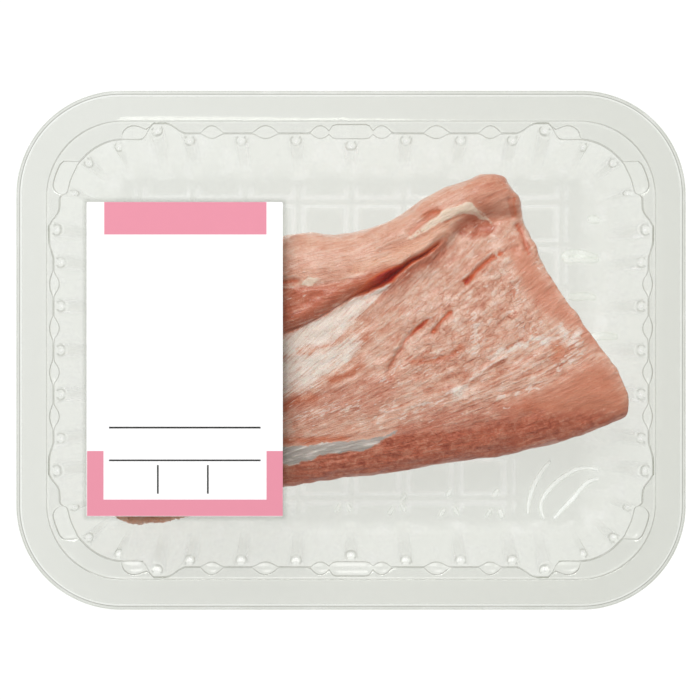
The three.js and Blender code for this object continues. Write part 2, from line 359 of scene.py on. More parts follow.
ledge_reach = LEDGE["bare"] + np.where(
    on_long,
    LEDGE["long"] * slot_end(side_run, -LONG_STRIP_END, LONG_STRIP_END, 3.0)
    + 5.4 * slot_end(side_run, LONG_CORNER_START, 200.0, 2.2),
    LEDGE["short"] * slot_end(side_run, -SHORT_STRIP_END, SHORT_STRIP_END, 3.0)
    + 3.6 * slot_end(side_run, SHORT_CORNER_START, 200.0, 2.2),
)
ledge_reach = np.where(on_corner, LEDGE["corner"] - 0.6 * np.abs(np.cos(2 * corner_angle)), ledge_reach)
for _ in range(3):
    ledge_reach = (np.roll(ledge_reach, 1) + 2 * ledge_reach + np.roll(ledge_reach, -1)) / 4

pocket_start, pocket_end = ledge_reach.copy(), ledge_reach.copy()
pocket_drop = np.zeros(STATION_COUNT)


def sink(weight, start, end, drop):
    """Opens a pocket in the ledge where the weight is above 0, from a start to an end, and a depth below the ledge."""
    global pocket_start, pocket_end, pocket_drop
    pocket_start = np.minimum(pocket_start, blend(pocket_start, start, weight))
    pocket_end = np.maximum(pocket_end, blend(pocket_end, end, weight))
    pocket_drop = np.where(weight > 0, drop, pocket_drop)


def blend(a, b, k):
    return a * (1 - k) + b * k


sink(lens(LONG_LENSES) * on_long, 1.3, 5.6, POCKET_DROP)
sink(lens(SHORT_LENSES) * on_short, 0.75, 3.9, POCKET_DROP)
sink(slot_end(side_run, -6.8, 6.8, 1.2) * on_long, 0.9, 5.6, POCKET_DROP + 0.7)
sink(slot_end(side_run, 69.3, 78.0, 4.2) * on_long, 1.35, 5.9, POCKET_DROP + 0.4)
sink(slot_end(corner_angle, math.radians(4), math.radians(36), 0.14) * on_corner, 1.4, 6.6, POCKET_DROP + 0.4)
print("ledge reaches", round(float(ledge_reach.min()), 2), "to", round(float(ledge_reach.max()), 2), "mm")

# %% [markdown]
# Half-round columns with domed heads stiffen the wall between the pockets. They swell out of the wall into the tray.

# %% Tray: columns
def off_axis(value, centres, half_width):
    """How far off the nearest column's axis each station lies, as a share of the column's half width."""
    return np.minimum.reduce([np.abs(value - centre) for centre in centres]) / half_width


column_off = np.where(on_long, off_axis(run, LONG_COLUMNS, COLUMN_HALF), np.where(
    on_short, off_axis(run, SHORT_COLUMNS, COLUMN_HALF), off_axis(corner_angle, CORNER_COLUMNS, COLUMN_HALF_ANGLE)))
column = np.sqrt(np.clip(1.0 - column_off ** 3, 0, 1))
print(f"{int((np.diff((column > 0).astype(int)) == 1).sum())} columns round the wall")

# %% [markdown]
# ## Tray: the skin
#
# The rings run from the skirt's foot over the flange, down the wall to the floor. The floor is a second grid, embossed
# with rows of rectangular pads, and the flat band between the two is filled with triangles. One Solidify modifier
# then gives the whole skin its thickness, as in the real sheet.

# %% Tray: rings
FOOT_FILLET = 3.2
HEAD_START = 1.2
HEAD_DROP = 2.4
COLUMN_SWELL = 3.5
BUBBLE_CENTRE = 2.1
BUBBLE_RADIUS = 1.5
WALL_SHARES = (0.0, 0.018, 0.036, 0.038, 0.041, 0.0455, 0.053, 0.0636, 0.079, 0.094, 0.11, 0.167, 0.33, 0.55, 0.76, 1.0)
# The third value of each skirt and mouth-step ring is painted shade along a tight fold; the fourth is how drawn it is.
SKIRT = ((0.0, 3.0, 0.3, 1.0), (0.0, 1.4, 0.0, 1.0), (0.12, 0.7, 0.0, 1.0), (0.4, 0.25, 0.2, 1.0), (0.9, 0.05, 0.3, 1.0),
         (1.25, 0.0, 0.3, 1.0), (1.42, 0.02, 1.0, 0.0), (1.6, 0.04, 0.0, 0.0))
FLANGE_FACE = ((2.4, 0.12), (6.2, 0.2), (10.15, 0.2), (10.38, 0.2))
MOUTH_STEP = ((0.0, 0.4, 0.7, 1.0), (0.1, 1.2, 0.0, 1.0), (0.16, LEDGE_DROP - 0.2, 0.0, 1.0), (0.4, LEDGE_DROP, 0.0, 0.5),
              (0.56, LEDGE_DROP, 0.0, 0.0))
FLANGE_RINGS = len(SKIRT) + len(FLANGE_FACE)
LEDGE_RINGS = FLANGE_RINGS + len(MOUTH_STEP) + 7


def skin_rings():
    """For each ring, outside to inside, every station's x and y, height, fold, drawn and highlight. Fold is painted
    shade: 1 along a tight fold, less round each bubble's rim and down the columns' shaded sides. Drawn is 1 where the
    sheet is stretched down the wall, and the highlight is how white a painted highlight makes it look."""
    rings = []

    def ring(places, height, fold=0.0, drawn=1.0, painted_highlight=0.0):
        values = [np.broadcast_to(value, STATION_COUNT).astype(float) for value in (height, fold, drawn, painted_highlight)]
        rings.append((places, *values))

    for by, below, fold, drawn in SKIRT:
        ring(inset(by), RIM_HEIGHT - below, fold, drawn)
    for by, below in FLANGE_FACE:
        ring(inset(by), RIM_HEIGHT - below, drawn=0.0)
    for by, below, fold, drawn in MOUTH_STEP:
        ring(mouth(by), RIM_HEIGHT - below, fold, drawn)
    ledge_z = RIM_HEIGHT - LEDGE_DROP
    for share in (0.5, 1.0):
        ring(mouth(blend(0.56, pocket_start - 0.1, share)), ledge_z, drawn=0.0)
    sunk = ledge_z - pocket_drop
    # Both edges of a pocket take a painted dark line of shade.
    ring(mouth(pocket_start), ledge_z - 0.3 * pocket_drop, 1.0)
    ring(mouth(pocket_start + 0.12), sunk, drawn=0.6)
    lip = np.maximum(pocket_end, pocket_start + 0.4)
    for share in (0.5, 1.0):
        ring(mouth(blend(pocket_start + 0.12, lip - 0.14, share)), sunk, drawn=0.6)
    ring(mouth(lip), sunk - 0.25, 1.0)
    foot = SHEET + FOOT_FILLET
    foot_place = contour(FLOOR_HALF[0], FLOOR_HALF[1], FLOOR_RADIUS)
    even_lip = lip.copy()
    for _ in range(40):
        even_lip = (np.roll(even_lip, 1) + 2 * even_lip + np.roll(even_lip, -1)) / 4
    for k in WALL_SHARES:
        height = blend(sunk - 1.0, foot, k)
        head = np.clip(((sunk - 1.0 - height) - HEAD_START) / HEAD_DROP, 0, 1)
        dome = np.sqrt(1 - (1 - head) ** 2)
        swell = COLUMN_SWELL * column * dome * blend(1.0, 0.8, k)
        panel = 0.4 * math.sin(math.pi * k) * (1 - column)
        start = mouth(blend(lip, even_lip, smooth(0.0, 0.2, k)) + 0.12)
        pale_edge = 1.2 * column * (1 - column) * dome * blend(1.0, 0.2, k)
        places = blend(start, foot_place, k) - OUT * (swell - panel)[:, None]
        inward = np.linalg.norm(places - mouth(lip), axis=1)
        off_bubble = np.hypot(0.78 * column_off * COLUMN_HALF, inward - BUBBLE_CENTRE)
        on_head = (column > 0) & (head > 0) & (head < 1)
        # Painted shade: a dark rim round each bubble and a faint shade down one side of each column. Painted
        # highlights: a glint in each bubble and paler column edges.
        bubble_rim = 0.5 * np.exp(-((off_bubble - BUBBLE_RADIUS) / 0.2) ** 2) * on_head
        glint = 0.7 * np.exp(-(np.hypot(column_off * COLUMN_HALF, inward - BUBBLE_CENTRE - 0.2) / 0.5) ** 2) * on_head
        shaded_side = 0.08 * smooth(1.5, 0.8, column_off) * (head >= 1) * smooth(0.95, 0.5, k)
        dull = 1.0 - 0.5 * on_head * (off_bubble < BUBBLE_RADIUS)
        ring(places, height, np.maximum(bubble_rim, shaded_side), dull, np.maximum(glint, pale_edge * (head >= 1)))
    end = rings[-1][0]
    for angle in (30.0, 60.0, 90.0):
        a = math.radians(angle)
        ring(end - OUT * (FOOT_FILLET * (1 - math.cos(a))), SHEET + FOOT_FILLET * (1 - math.sin(a)))
    return rings


# The curved ribs and feet are raised ribs whitened by painted highlights; the streaks are painted reflections on the
# floor, laid as faint raised strips.
CURVED_RIBS = [
    ((551, 461), (544, 469), (537, 480), (532, 491), (529, 502), (528, 514)),
    ((599, 470), (589, 468), (578, 469), (568, 474), (558, 481), (548, 491), (542, 501), (541, 509), (544, 519)),
    ((599, 479), (591, 481), (582, 488), (573, 499), (562, 510), (554, 519)),
]
FLOOR_GLINT_STREAKS = [
    ((562, 256), (572, 253), (584, 254), (598, 257)),
    ((563, 255), (568, 260), (578, 258), (590, 260), (599, 259)),
    ((568, 296), (576, 297), (586, 296), (596, 298)),
    ((583, 340), (593, 337), (605, 336), (618, 337)),
    ((588, 220), (593, 219), (600, 221)),
]
FEET = [(404, 497), (449, 493), (496, 493), (338, 508), (391, 511), (442, 513), (489, 513)]
LEFT_LEANING_FEET = [(349, 508), (403, 508), (456, 511), (501, 514)]
CHANNEL = 2.4
PAD_RISE = 0.18
PAD_AREA = (78.0, 59.0)


def pad_edges(pitch, half_run, shift):
    """Where the pads' edges lie along one direction: two between each pad and the next."""
    count = int(half_run / pitch) + 1
    return [(n + shift) * pitch + side * CHANNEL / 2 for n in range(-count, count + 1) for side in (-1, 1)]


def floor_height(x, y):
    """The height of the floor's pads, and how white a painted highlight makes their edges look."""
    u = np.abs((x / LONG_PITCH) % 1.0 - 0.5) * LONG_PITCH
    v = np.abs((y / SHORT_PITCH + 0.5) % 1.0 - 0.5) * SHORT_PITCH
    in_pad = np.minimum(LONG_PITCH / 2 - CHANNEL / 2 - u, SHORT_PITCH / 2 - CHANNEL / 2 - v)
    rim = smooth(0, 3.0, PAD_AREA[0] - np.abs(x)) * smooth(0, 3.0, PAD_AREA[1] - np.abs(y))
    plain = smooth(56.0, 60.0, x) * smooth(-28.0, -32.0, y)
    height = PAD_RISE * smooth(0, 1.5, in_pad) * rim * (1 - plain)
    highlight_white = 0.28 * np.exp(-((in_pad - 0.3) / 0.5) ** 2) * rim * (1 - plain)
    return height, highlight_white


tray_rings = skin_rings()
print(f"{len(tray_rings)} rings")

# %% Tray: build
FLOOR_GRID_HALF = (80.0, 60.0)
FLOOR_CELLS = (96, 84)
RIB_RISE = 0.45


def grid_place(bm, vert, columns, rows):
    """Which column and row of a fresh 2 x 2 grid a vertex stands in."""
    return round((vert.co.x + 1) / 2 * columns), round((vert.co.y + 1) / 2 * rows)


def finish_object(name, bm, materials):
    mesh = bpy.data.meshes.new(name)
    bm.to_mesh(mesh)
    bm.free()
    piece = bpy.data.objects.new(name, mesh)
    bpy.context.collection.objects.link(piece)
    for material in materials:
        mesh.materials.append(material)
    return piece


def apply_modifiers(piece):
    bpy.context.view_layer.objects.active = piece
    for modifier in list(piece.modifiers):
        bpy.ops.object.modifier_apply(modifier=modifier.name)


def shade_gradient_at(x, y):
    """Painted shade on the sheet's tint, 0 to 1: least towards the upper left and most towards the lower right, where
    the pack's shadow lies on the table under it.
    """
    return 0.555 + 0.42 * x / HALF_LENGTH - 0.15 * y / HALF_WIDTH


def raise_rib(bm, painted_highlight, drawn, line, half_width, highlight_white):
    """A rounded rib pressed up from the floor along a line in mm, narrow at its two ends and whitened by a painted
    highlight.
    """
    across, along = 6, 24
    middle = spline(line, np.linspace(0, 1, along + 1)[:, None])
    way = np.gradient(middle, axis=0)
    way /= np.linalg.norm(way, axis=1)[:, None]
    made = bmesh.ops.create_grid(bm, x_segments=across, y_segments=along, size=1)["verts"]
    for vert in made:
        i, j = grid_place(bm, vert, across, along)
        angle = math.pi * i / across
        width = half_width * (0.25 + 0.75 * math.sin(math.pi * (0.06 + 0.88 * j / along)) ** 0.5)
        side = math.cos(angle) * width
        x, y = middle[j] + np.array([way[j][1], -way[j][0]]) * side
        vert.co = Vector((x, y, SHEET + PAD_RISE / 2 + RIB_RISE * math.sin(angle))) * MM
        vert[painted_highlight] = highlight_white * math.sin(angle)
        vert[drawn] = 1.0


def build_tray():
    bm = bmesh.new()
    fold, painted_highlight, thickness_and_shade, drawn = (bm.verts.layers.float.new(name) for name in ("fold", "painted_highlight", "thickness_and_shade", "drawn"))
    last_row = len(tray_rings) - 1
    bmesh.ops.create_grid(bm, x_segments=STATION_COUNT, y_segments=last_row, size=1)
    for vert in bm.verts:
        column_index, row = grid_place(bm, vert, STATION_COUNT, last_row)
        station = column_index % STATION_COUNT
        places, heights, folds, stretch, ring_highlight = tray_rings[row]
        x, y = places[station]
        vert.co = Vector((x, y, heights[station])) * MM
        vert[fold] = folds[station]
        vert[painted_highlight] = ring_highlight[station]
        vert[drawn] = stretch[station]
        # The tint's strength is the sheet's thickness in the skirt, flange, ledge and wall, times a painted shade
        # towards the lower right.
        vert[thickness_and_shade] = shade_gradient_at(x, y) * (0.9 if row < 6 else 1.0 if row < FLANGE_RINGS else 0.85 if row < LEDGE_RINGS else 0.5)
    bmesh.ops.remove_doubles(bm, verts=bm.verts, dist=0.00001 * MM)
    wall_loops = [e for e in bm.edges if e.is_boundary]
    floor_z = (SHEET + 1e-4) * MM
    wall_foot = [e for e in wall_loops if all(v.co.z < floor_z for v in e.verts)]
    wall_verts = set(bm.verts)
    bmesh.ops.create_grid(bm, x_segments=FLOOR_CELLS[0], y_segments=FLOOR_CELLS[1], size=1)
    floor_verts = [v for v in bm.verts if v not in wall_verts]
    lines = [
        gathered(np.linspace(0, 1, cells + 1), half, pad_edges(pitch, half, shift), 0.9, 3.0) * half
        for cells, half, pitch, shift in zip(FLOOR_CELLS, FLOOR_GRID_HALF, (LONG_PITCH, SHORT_PITCH), (0.0, 0.5))
    ]
    cells = [grid_place(bm, vert, *FLOOR_CELLS) for vert in floor_verts]
    x = lines[0][[cell[0] for cell in cells]]
    y = lines[1][[cell[1] for cell in cells]]
    relief, pad_highlight = floor_height(x, y)
    for vert, vx, vy, vz, highlight_white in zip(floor_verts, x, y, SHEET + relief, pad_highlight):
        vert.co = Vector((vx, vy, vz)) * MM
        vert[painted_highlight] = highlight_white
        vert[thickness_and_shade] = 0.5 * shade_gradient_at(vx, vy)
    floor_edge = [e for e in bm.edges if e.is_boundary and all(v not in wall_verts for v in e.verts)]
    bmesh.ops.triangle_fill(bm, use_beauty=True, use_dissolve=False, edges=wall_foot + floor_edge)
    for line in CURVED_RIBS:
        raise_rib(bm, painted_highlight, drawn, seen(line, 1.5), 0.9, 0.75)
    for line in FLOOR_GLINT_STREAKS:
        raise_rib(bm, painted_highlight, drawn, seen(line, 1.5), 1.5, 0.27)
    for feet, lean in ((FEET, 0.8), (LEFT_LEANING_FEET, -0.7)):
        for foot in seen(feet, 1.5):
            reach = np.array([lean, 1.4])
            raise_rib(bm, painted_highlight, drawn, np.array([foot + reach, foot, foot - reach]), 0.9, 0.42)
    bmesh.ops.recalc_face_normals(bm, faces=bm.faces)
    if sum(f.normal.z for f in bm.faces) < 0:
        bmesh.ops.reverse_faces(bm, faces=bm.faces)
    for face in bm.faces:
        face.smooth = True
    return bm


tray_bm = build_tray()
print(f"tray skin: {len(tray_bm.faces)} faces, {sum(e.is_boundary for e in tray_bm.edges)} open edges (the skirt's foot)")

# %% [markdown]
# ## Clear plastic
#
# The tray is PET and the film is a thin laminate. Both are clear, with a faint grey-green cast where several layers lie
# over each other. Each sheet is a tinted see-through surface with a thin gloss and doesn't bend the light: it darkens
# where it is seen edge-on, and the dark lines along tight folds and round the label are painted shade. The tint also
# deepens towards the lower right as painted shade, and the white of the ribs, streaks, pad edges, feet and bubble
# glints is painted highlight. Shadow rays see the plastic as lightly tinted and transparent, so light that goes through
# still reaches the table.

# %% Clear plastics
HAZE_MM = (7.0, 7.0, 45.0)


def clear_plastic(name, through, thick_and_shaded_tint, edge_on_and_fold_shade, shade, roughness, ripple_mm, ripple_height_mm):
    """Clear plastic sheet. Each of its two faces takes away a little light, more where the sheet is thick and where
    painted shade lies on it, and most where it is seen edge-on and along the painted dark lines of shade at tight
    folds. Marked places are whitened with painted highlights, and the drawn walls with a faint haze."""
    material, tree = new_material(name)
    place = add(tree, "TexCoord")
    ripple = add(tree, "TexNoise", {
        "Vector": place.outputs["Object"],
        "Scale": 1 / (ripple_mm * MM),
        "Detail": 1.0,
    })
    bump = add(tree, "Bump", {
        "Height": ripple.outputs["Fac"],
        "Distance": ripple_height_mm * MM,
        "Strength": 1.0,
    })
    facing = add(tree, "LayerWeight", {"Blend": 0.5, "Normal": bump.outputs["Normal"]}).outputs["Facing"]
    drawn = add(tree, "Attribute", attribute_name="drawn").outputs["Fac"]
    steep = add(tree, "MapRange", {
        "Value": facing, "From Min": 0.85, "From Max": 1.0,
    }, interpolation_type="SMOOTHSTEP").outputs["Result"]
    undrawn = add(tree, "Math", {0: 1.0, 1: drawn}, operation="SUBTRACT").outputs[0]
    steep = add(tree, "Math", {0: steep, 1: undrawn}, operation="MULTIPLY").outputs[0]
    fold = add(tree, "Attribute", attribute_name="fold").outputs["Fac"]
    thickness_and_shade = add(tree, "Attribute", attribute_name="thickness_and_shade").outputs["Fac"]
    body = add(tree, "Mix", {"Factor": thickness_and_shade}, data_type="RGBA")
    body.inputs["A"].default_value = linear(through)
    body.inputs["B"].default_value = linear(thick_and_shaded_tint)
    edge_and_fold_shade = add(tree, "Math", {0: steep, 1: fold}, operation="MAXIMUM").outputs[0]
    tint = add(tree, "Mix", {"Factor": edge_and_fold_shade, "A": body.outputs["Result"]}, data_type="RGBA")
    tint.inputs["B"].default_value = linear(edge_on_and_fold_shade)
    clear = add(tree, "BsdfTransparent", {"Color": tint.outputs["Result"]})
    gloss = add(tree, "BsdfGlossy", {
        "Color": linear("#ffffff"),
        "Roughness": add(tree, "Math", {0: drawn, 1: 0.3, 2: roughness}, operation="MULTIPLY_ADD").outputs[0],
        "Normal": bump.outputs["Normal"],
    })
    grazing = add(tree, "Math", {0: facing, 1: 5.0}, operation="POWER").outputs[0]
    shine = add(tree, "Math", {0: grazing, 1: 0.6, 2: 0.04}, operation="MULTIPLY_ADD").outputs[0]
    dulled = add(tree, "Math", {0: drawn, 1: -0.86, 2: 1.0}, operation="MULTIPLY_ADD").outputs[0]
    shine = add(tree, "Math", {0: shine, 1: dulled}, operation="MULTIPLY").outputs[0]
    sheet = add(tree, "MixShader", {0: shine, 1: clear.outputs[0], 2: gloss.outputs[0]})
    # A white layer, lit from below and above, for the painted highlights and the walls' faint haze.
    from_below = add(tree, "BsdfTranslucent", {"Color": linear("#fbfbfd")})
    from_above = add(tree, "BsdfDiffuse", {"Color": linear("#77797b")})
    highlight_and_haze_shader = add(tree, "AddShader", {0: from_below.outputs[0], 1: from_above.outputs[0]})
    painted_highlight = add(tree, "Attribute", attribute_name="painted_highlight").outputs["Fac"]
    tall = add(tree, "Mapping", {"Vector": place.outputs["Object"], "Scale": [1 / (size * MM) for size in HAZE_MM]})
    cloud = add(tree, "TexNoise", {"Vector": tall.outputs["Vector"], "Scale": 1.0, "Detail": 2.0})
    haze = add(tree, "MapRange", {"Value": cloud.outputs["Fac"], "From Min": 0.45, "From Max": 0.75, "To Max": 0.13})
    haze = add(tree, "Math", {0: haze.outputs["Result"], 1: drawn}, operation="MULTIPLY").outputs[0]
    highlight_and_haze = add(tree, "Math", {0: painted_highlight, 1: 0.6, 2: haze}, operation="MULTIPLY_ADD").outputs[0]
    sheet = add(tree, "MixShader", {0: highlight_and_haze, 1: sheet.outputs[0], 2: highlight_and_haze_shader.outputs[0]})
    shadow = add(tree, "BsdfTransparent", {"Color": linear(shade)})
    path = add(tree, "LightPath")
    mixed = add(tree, "MixShader", {0: path.outputs["Is Shadow Ray"], 1: sheet.outputs[0], 2: shadow.outputs[0]})
    add(tree, "OutputMaterial", {"Surface": mixed.outputs[0]})
    return material


tray_plastic = clear_plastic("clear_pet_sheet", "#fafbf9", "#f4f5f2", "#c4c5bf", "#fafafa", 0.06, 9.0, 0.05)
film_plastic = clear_plastic("clear_lidding_film", "#fbfbfa", "#fbfbfa", "#b0b2ac", "#ffffff", 0.04, 30.0, 0.03)

tray_piece = finish_object("moulded_tray", tray_bm, [tray_plastic])
thickness = tray_piece.modifiers.new("sheet", "SOLIDIFY")
thickness.thickness = DRAWN_SHEET * MM
thickness.offset = -1.0
apply_modifiers(tray_piece)
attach(tray_piece, "root")
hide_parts("tray")
print(f"tray: {len(tray_piece.data.polygons)} faces")

# %% [markdown]
# ## Lidding film
#
# The film is a rounded rectangle cut a little smaller than the flange. It starts as one square face whose corners are
# bevelled, and one extrusion gives it its thickness.

# %% Film
FILM_RADIUS = 33.3


def rounded_plate(low, high, radius, segments):
    """A thin plate between two corners, in metres, with its four upright edges rounded."""
    bm = bmesh.new()
    bmesh.ops.create_grid(bm, x_segments=1, y_segments=1, size=1)
    middle = (low + high) / 2
    bmesh.ops.scale(bm, vec=((high.x - low.x) / 2, (high.y - low.y) / 2, 1), verts=bm.verts)
    bmesh.ops.translate(bm, vec=(middle.x, middle.y, low.z), verts=bm.verts)
    if radius > 0:
        bmesh.ops.bevel(bm, geom=bm.verts[:], affect="VERTICES", offset=radius, offset_type="OFFSET",
                        segments=segments, profile=0.5, material=-1)
    made = bmesh.ops.extrude_face_region(bm, geom=bm.faces[:])
    top = [v for v in made["geom"] if isinstance(v, bmesh.types.BMVert)]
    bmesh.ops.translate(bm, vec=(0, 0, high.z - low.z), verts=top)
    bmesh.ops.recalc_face_normals(bm, faces=bm.faces)
    return bm


def cut_plate(bm, across_x, across_y):
    """Cuts a plate through at the given places, which adds edges and leaves its shape alone."""
    for axis, value in [(0, x) for x in across_x] + [(1, y) for y in across_y]:
        point, normal = [0, 0, 0], [0, 0, 0]
        point[axis], normal[axis] = value, 1
        geometry = bm.verts[:] + bm.edges[:] + bm.faces[:]
        bmesh.ops.bisect_plane(bm, geom=geometry, dist=1e-6, plane_co=point, plane_no=normal)


# A painted shadow of the label: the film's fold attribute darkens the film under the label and fades out in a narrow
# band round it.
LABEL_SHADOW_REACH = 1.8
film_bm = rounded_plate(film_low, film_high, FILM_RADIUS * MM, 24)
label_shadow_layer = film_bm.verts.layers.float.new("fold")
label_sides = [(label_low[a], label_high[a]) for a in (0, 1)]
cut_plate(film_bm, *[(low - LABEL_SHADOW_REACH * MM, low, high, high + LABEL_SHADOW_REACH * MM) for low, high in label_sides])
for vert in film_bm.verts:
    under = all(low - 1e-5 < vert.co[a] < high + 1e-5 for a, (low, high) in enumerate(label_sides))
    vert[label_shadow_layer] = 0.26 if under else 0.0
film_piece = finish_object("lidding_film", film_bm, [film_plastic])
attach(film_piece, "root")
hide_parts("top_film")
print(f"film: {len(film_piece.data.polygons)} faces")

# %% [markdown]
# ## Label
#
# The label is coated paper. Its print is only fields of pink, thin rules and bare white where words would stand. The
# plate is cut along every printed edge, so each field is a set of faces with its own ink and its edges stay sharp.

# %% Label
PINK_FIELDS = [
    ((104.2, 202.0), (266.5, 234.5)),
    ((87.0, 451.0), (103.5, 516.0)),
    ((266.5, 451.0), (283.0, 516.0)),
    ((103.5, 499.6), (266.5, 516.0)),
]
RULES = [
    ((109.0, 426.7), (260.6, 428.5)),
    ((109.0, 459.5), (260.6, 461.2)),
    ((157.0, 465.0), (158.7, 493.7)),
    ((207.0, 465.0), (208.7, 493.7)),
]


def coated_paper(name, colour, roughness):
    """Coated paper, white or printed: an even colour with the faint cloudiness and tooth of the sheet."""
    material, tree = new_material(name)
    place = add(tree, "TexCoord")
    cloud = add(tree, "TexNoise", {"Vector": place.outputs["Object"], "Scale": 1 / (4.0 * MM), "Detail": 3.0})
    level = add(tree, "MapRange", {"Value": cloud.outputs["Fac"], "To Min": 0.985, "To Max": 1.015})
    tint = add(tree, "HueSaturation", {"Color": linear(colour), "Value": level.outputs["Result"]})
    tooth = add(tree, "TexNoise", {"Vector": place.outputs["Object"], "Scale": 1 / (0.35 * MM), "Detail": 2.0})
    bump = add(tree, "Bump", {"Height": tooth.outputs["Fac"], "Distance": 0.01 * MM, "Strength": 0.4})
    sheet = add(tree, "BsdfPrincipled", {
        "Base Color": tint.outputs["Color"],
        "Roughness": roughness,
        "IOR": 1.5,
        "Normal": bump.outputs["Normal"],
    })
    add(tree, "OutputMaterial", {"Surface": sheet.outputs[0]})
    return material


def print_box(field):
    """A printed field's corners on the label's face, in metres."""
    (x0, y0), (x1, y1) = seen(field, label_high.z / MM) * MM
    return min(x0, x1), max(x0, x1), min(y0, y1), max(y0, y1)


def build_label():
    bm = rounded_plate(label_low, label_high, 0.4 * MM, 4)
    fields = [(print_box(f), 1) for f in PINK_FIELDS] + [(print_box(f), 2) for f in RULES]
    cut_plate(bm, [x for box, _ in fields for x in box[:2]], [y for box, _ in fields for y in box[2:]])
    for face in bm.faces:
        middle = face.calc_center_median()
        for (x0, x1, y0, y1), ink in fields:
            if face.normal.z > 0.5 and x0 < middle.x < x1 and y0 < middle.y < y1:
                face.material_index = ink
    return bm


label_inks = [
    coated_paper("coated_label_paper", "#fbfbfb", 0.45),
    coated_paper("pink_printing_ink", "#e38da1", 0.6),
    coated_paper("black_printing_ink", "#1c1a19", 0.4),
]
label_piece = finish_object("paper_label", build_label(), label_inks)
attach(label_piece, "root")
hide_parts("label")
print(f"label: {len(label_piece.data.polygons)} faces")

# %% [markdown]
# ## Meat: the two muscles
#
# A tenderloin has a long main muscle and a thinner side muscle that lies along it. Each one starts as a sphere whose
# rings are moved onto sections across the muscle, from its tail to its head. The two are then joined by a voxel
# remesh, which leaves one skin with an even mesh, fine enough to carve.

# %% Meat: sections and lofts
MAIN_SECTIONS = [
    # upper edge, lower edge, underside, crest
    ((-87.0, -51.0), (-84.5, -60.5), 2.6, 9.0),
    ((-80.0, -31.0), (-68.0, -61.0), 2.2, 17.0),
    ((-68.0, -8.0), (-50.0, -55.8), 2.2, 23.0),
    ((-54.0, 12.0), (-34.0, -50.0), 2.2, 27.0),
    ((-38.0, 26.0), (-14.0, -46.2), 2.2, 29.5),
    ((-18.0, 30.0), (8.4, -43.2), 2.2, 31.0),
    ((4.0, 33.0), (30.0, -39.8), 2.2, 31.5),
    ((25.0, 43.0), (52.5, -36.8), 2.2, 31.5),
    ((43.5, 53.0), (76.0, -31.2), 4.0, 30.5),
    ((57.0, 51.0), (94.9, -23.0), 12.0, 29.0),
]
SIDE_SECTIONS = [
    ((-46.0, 20.0), (-42.0, 4.0), 4.0, 22.0),
    ((-35.0, 34.0), (-30.0, -3.0), 2.6, 29.5),
    ((-23.7, 39.2), (-20.0, 1.5), 2.4, 32.5),
    ((-12.5, 40.9), (-8.0, 8.0), 2.4, 33.5),
    ((-4.9, 40.2), (3.0, 15.0), 2.8, 34.0),
    ((3.0, 41.0), (12.6, 19.6), 4.0, 34.0),
    ((14.0, 44.8), (21.0, 24.6), 6.0, 34.5),
    ((24.0, 52.2), (30.0, 32.0), 8.0, 34.5),
    ((33.5, 56.3), (36.3, 41.0), 10.0, 34.0),
    ((44.3, 60.0), (45.6, 46.5), 12.0, 33.0),
    ((50.8, 60.2), (53.4, 46.6), 13.0, 31.5),
    ((54.8, 56.2), (56.6, 45.6), 14.0, 30.5),
    ((58.6, 52.2), (58.9, 45.6), 15.0, 29.0),
]
WIDEST = 0.4
ROUND_TAIL = 0.06
ROUND_HEAD = 0.03
CUT_FACE = 0.1


def loft_muscle(bm, sections, around, rings, dome=0.7, valley=0.0, cut=0.0, bow=0.0):
    """Moves the rings of a new sphere onto the sections. A cut head ends in a flat face, the rest are round."""
    made = bmesh.ops.create_uvsphere(bm, u_segments=around, v_segments=rings, radius=1)["verts"]
    co = np.array([v.co for v in made])
    v = np.arccos(np.clip(co[:, 2], -1, 1)) / math.pi
    angle = np.arctan2(co[:, 1], co[:, 0])
    t = np.clip(v / (1 - cut), 0, 1)
    from_end = np.where(cut > 0, v / ROUND_TAIL, np.minimum(v / ROUND_TAIL, (1 - v) / ROUND_HEAD))
    swell = np.sqrt(1 - (1 - np.clip(from_end, 0, 1)) ** 2)
    if cut > 0:
        swell = np.where(v > 1 - cut, np.clip((1 - v) / cut, 0, 1) ** 0.7, swell)
    across = np.sign(np.cos(angle)) * np.abs(np.cos(angle)) ** 0.8 * swell
    rise = np.sin(angle)
    k = (1 + across) / 2
    low, high = (spline([s[i] for s in sections], t) for i in (2, 3))
    level = low + (high - low) * WIDEST
    sunk = 1 - valley * smooth(0.5, 1.0, k)
    z = np.where(rise > 0, level + (high - level) * np.abs(rise) ** dome * swell * sunk,
                 level - (level - low) * np.abs(rise) ** 0.45 * swell)
    shift = bow * t ** 9 * np.sin(math.pi * k ** 0.6) * (0.55 - k) / 0.45
    x, y = (blend(spline([s[1][a] for s in sections], t), spline([s[0][a] for s in sections], t), k) for a in (0, 1))
    for vert, place in zip(made, np.stack([x + shift * 0.87, y + shift * 0.49, z], -1)):
        vert.co = Vector(place) * MM


VOXEL = 0.67
meat_bm = bmesh.new()
loft_muscle(meat_bm, MAIN_SECTIONS, 120, 220, dome=0.55, valley=0.06, cut=CUT_FACE, bow=6.0)
loft_muscle(meat_bm, SIDE_SECTIONS, 96, 180, dome=0.45)
bmesh.ops.recalc_face_normals(meat_bm, faces=meat_bm.faces)
meat_piece = finish_object("pork_tenderloin", meat_bm, [])
remesh = meat_piece.modifiers.new("one_skin", "REMESH")
remesh.mode = "VOXEL"
remesh.voxel_size = VOXEL * MM
apply_modifiers(meat_piece)
print(f"meat after the remesh: {len(meat_piece.data.vertices)} vertices")

# %% [markdown]
# ## Meat: lines and regions on its surface
#
# What makes the cut look like meat follows lines: the dark fold between the muscles, a strip of fat, a slit, and the
# seams of connective tissue. Each line is a row of places seen in the picture. The distance of every vertex from a line
# tells how deep it is carved there, and how fat, pale or dark it is.

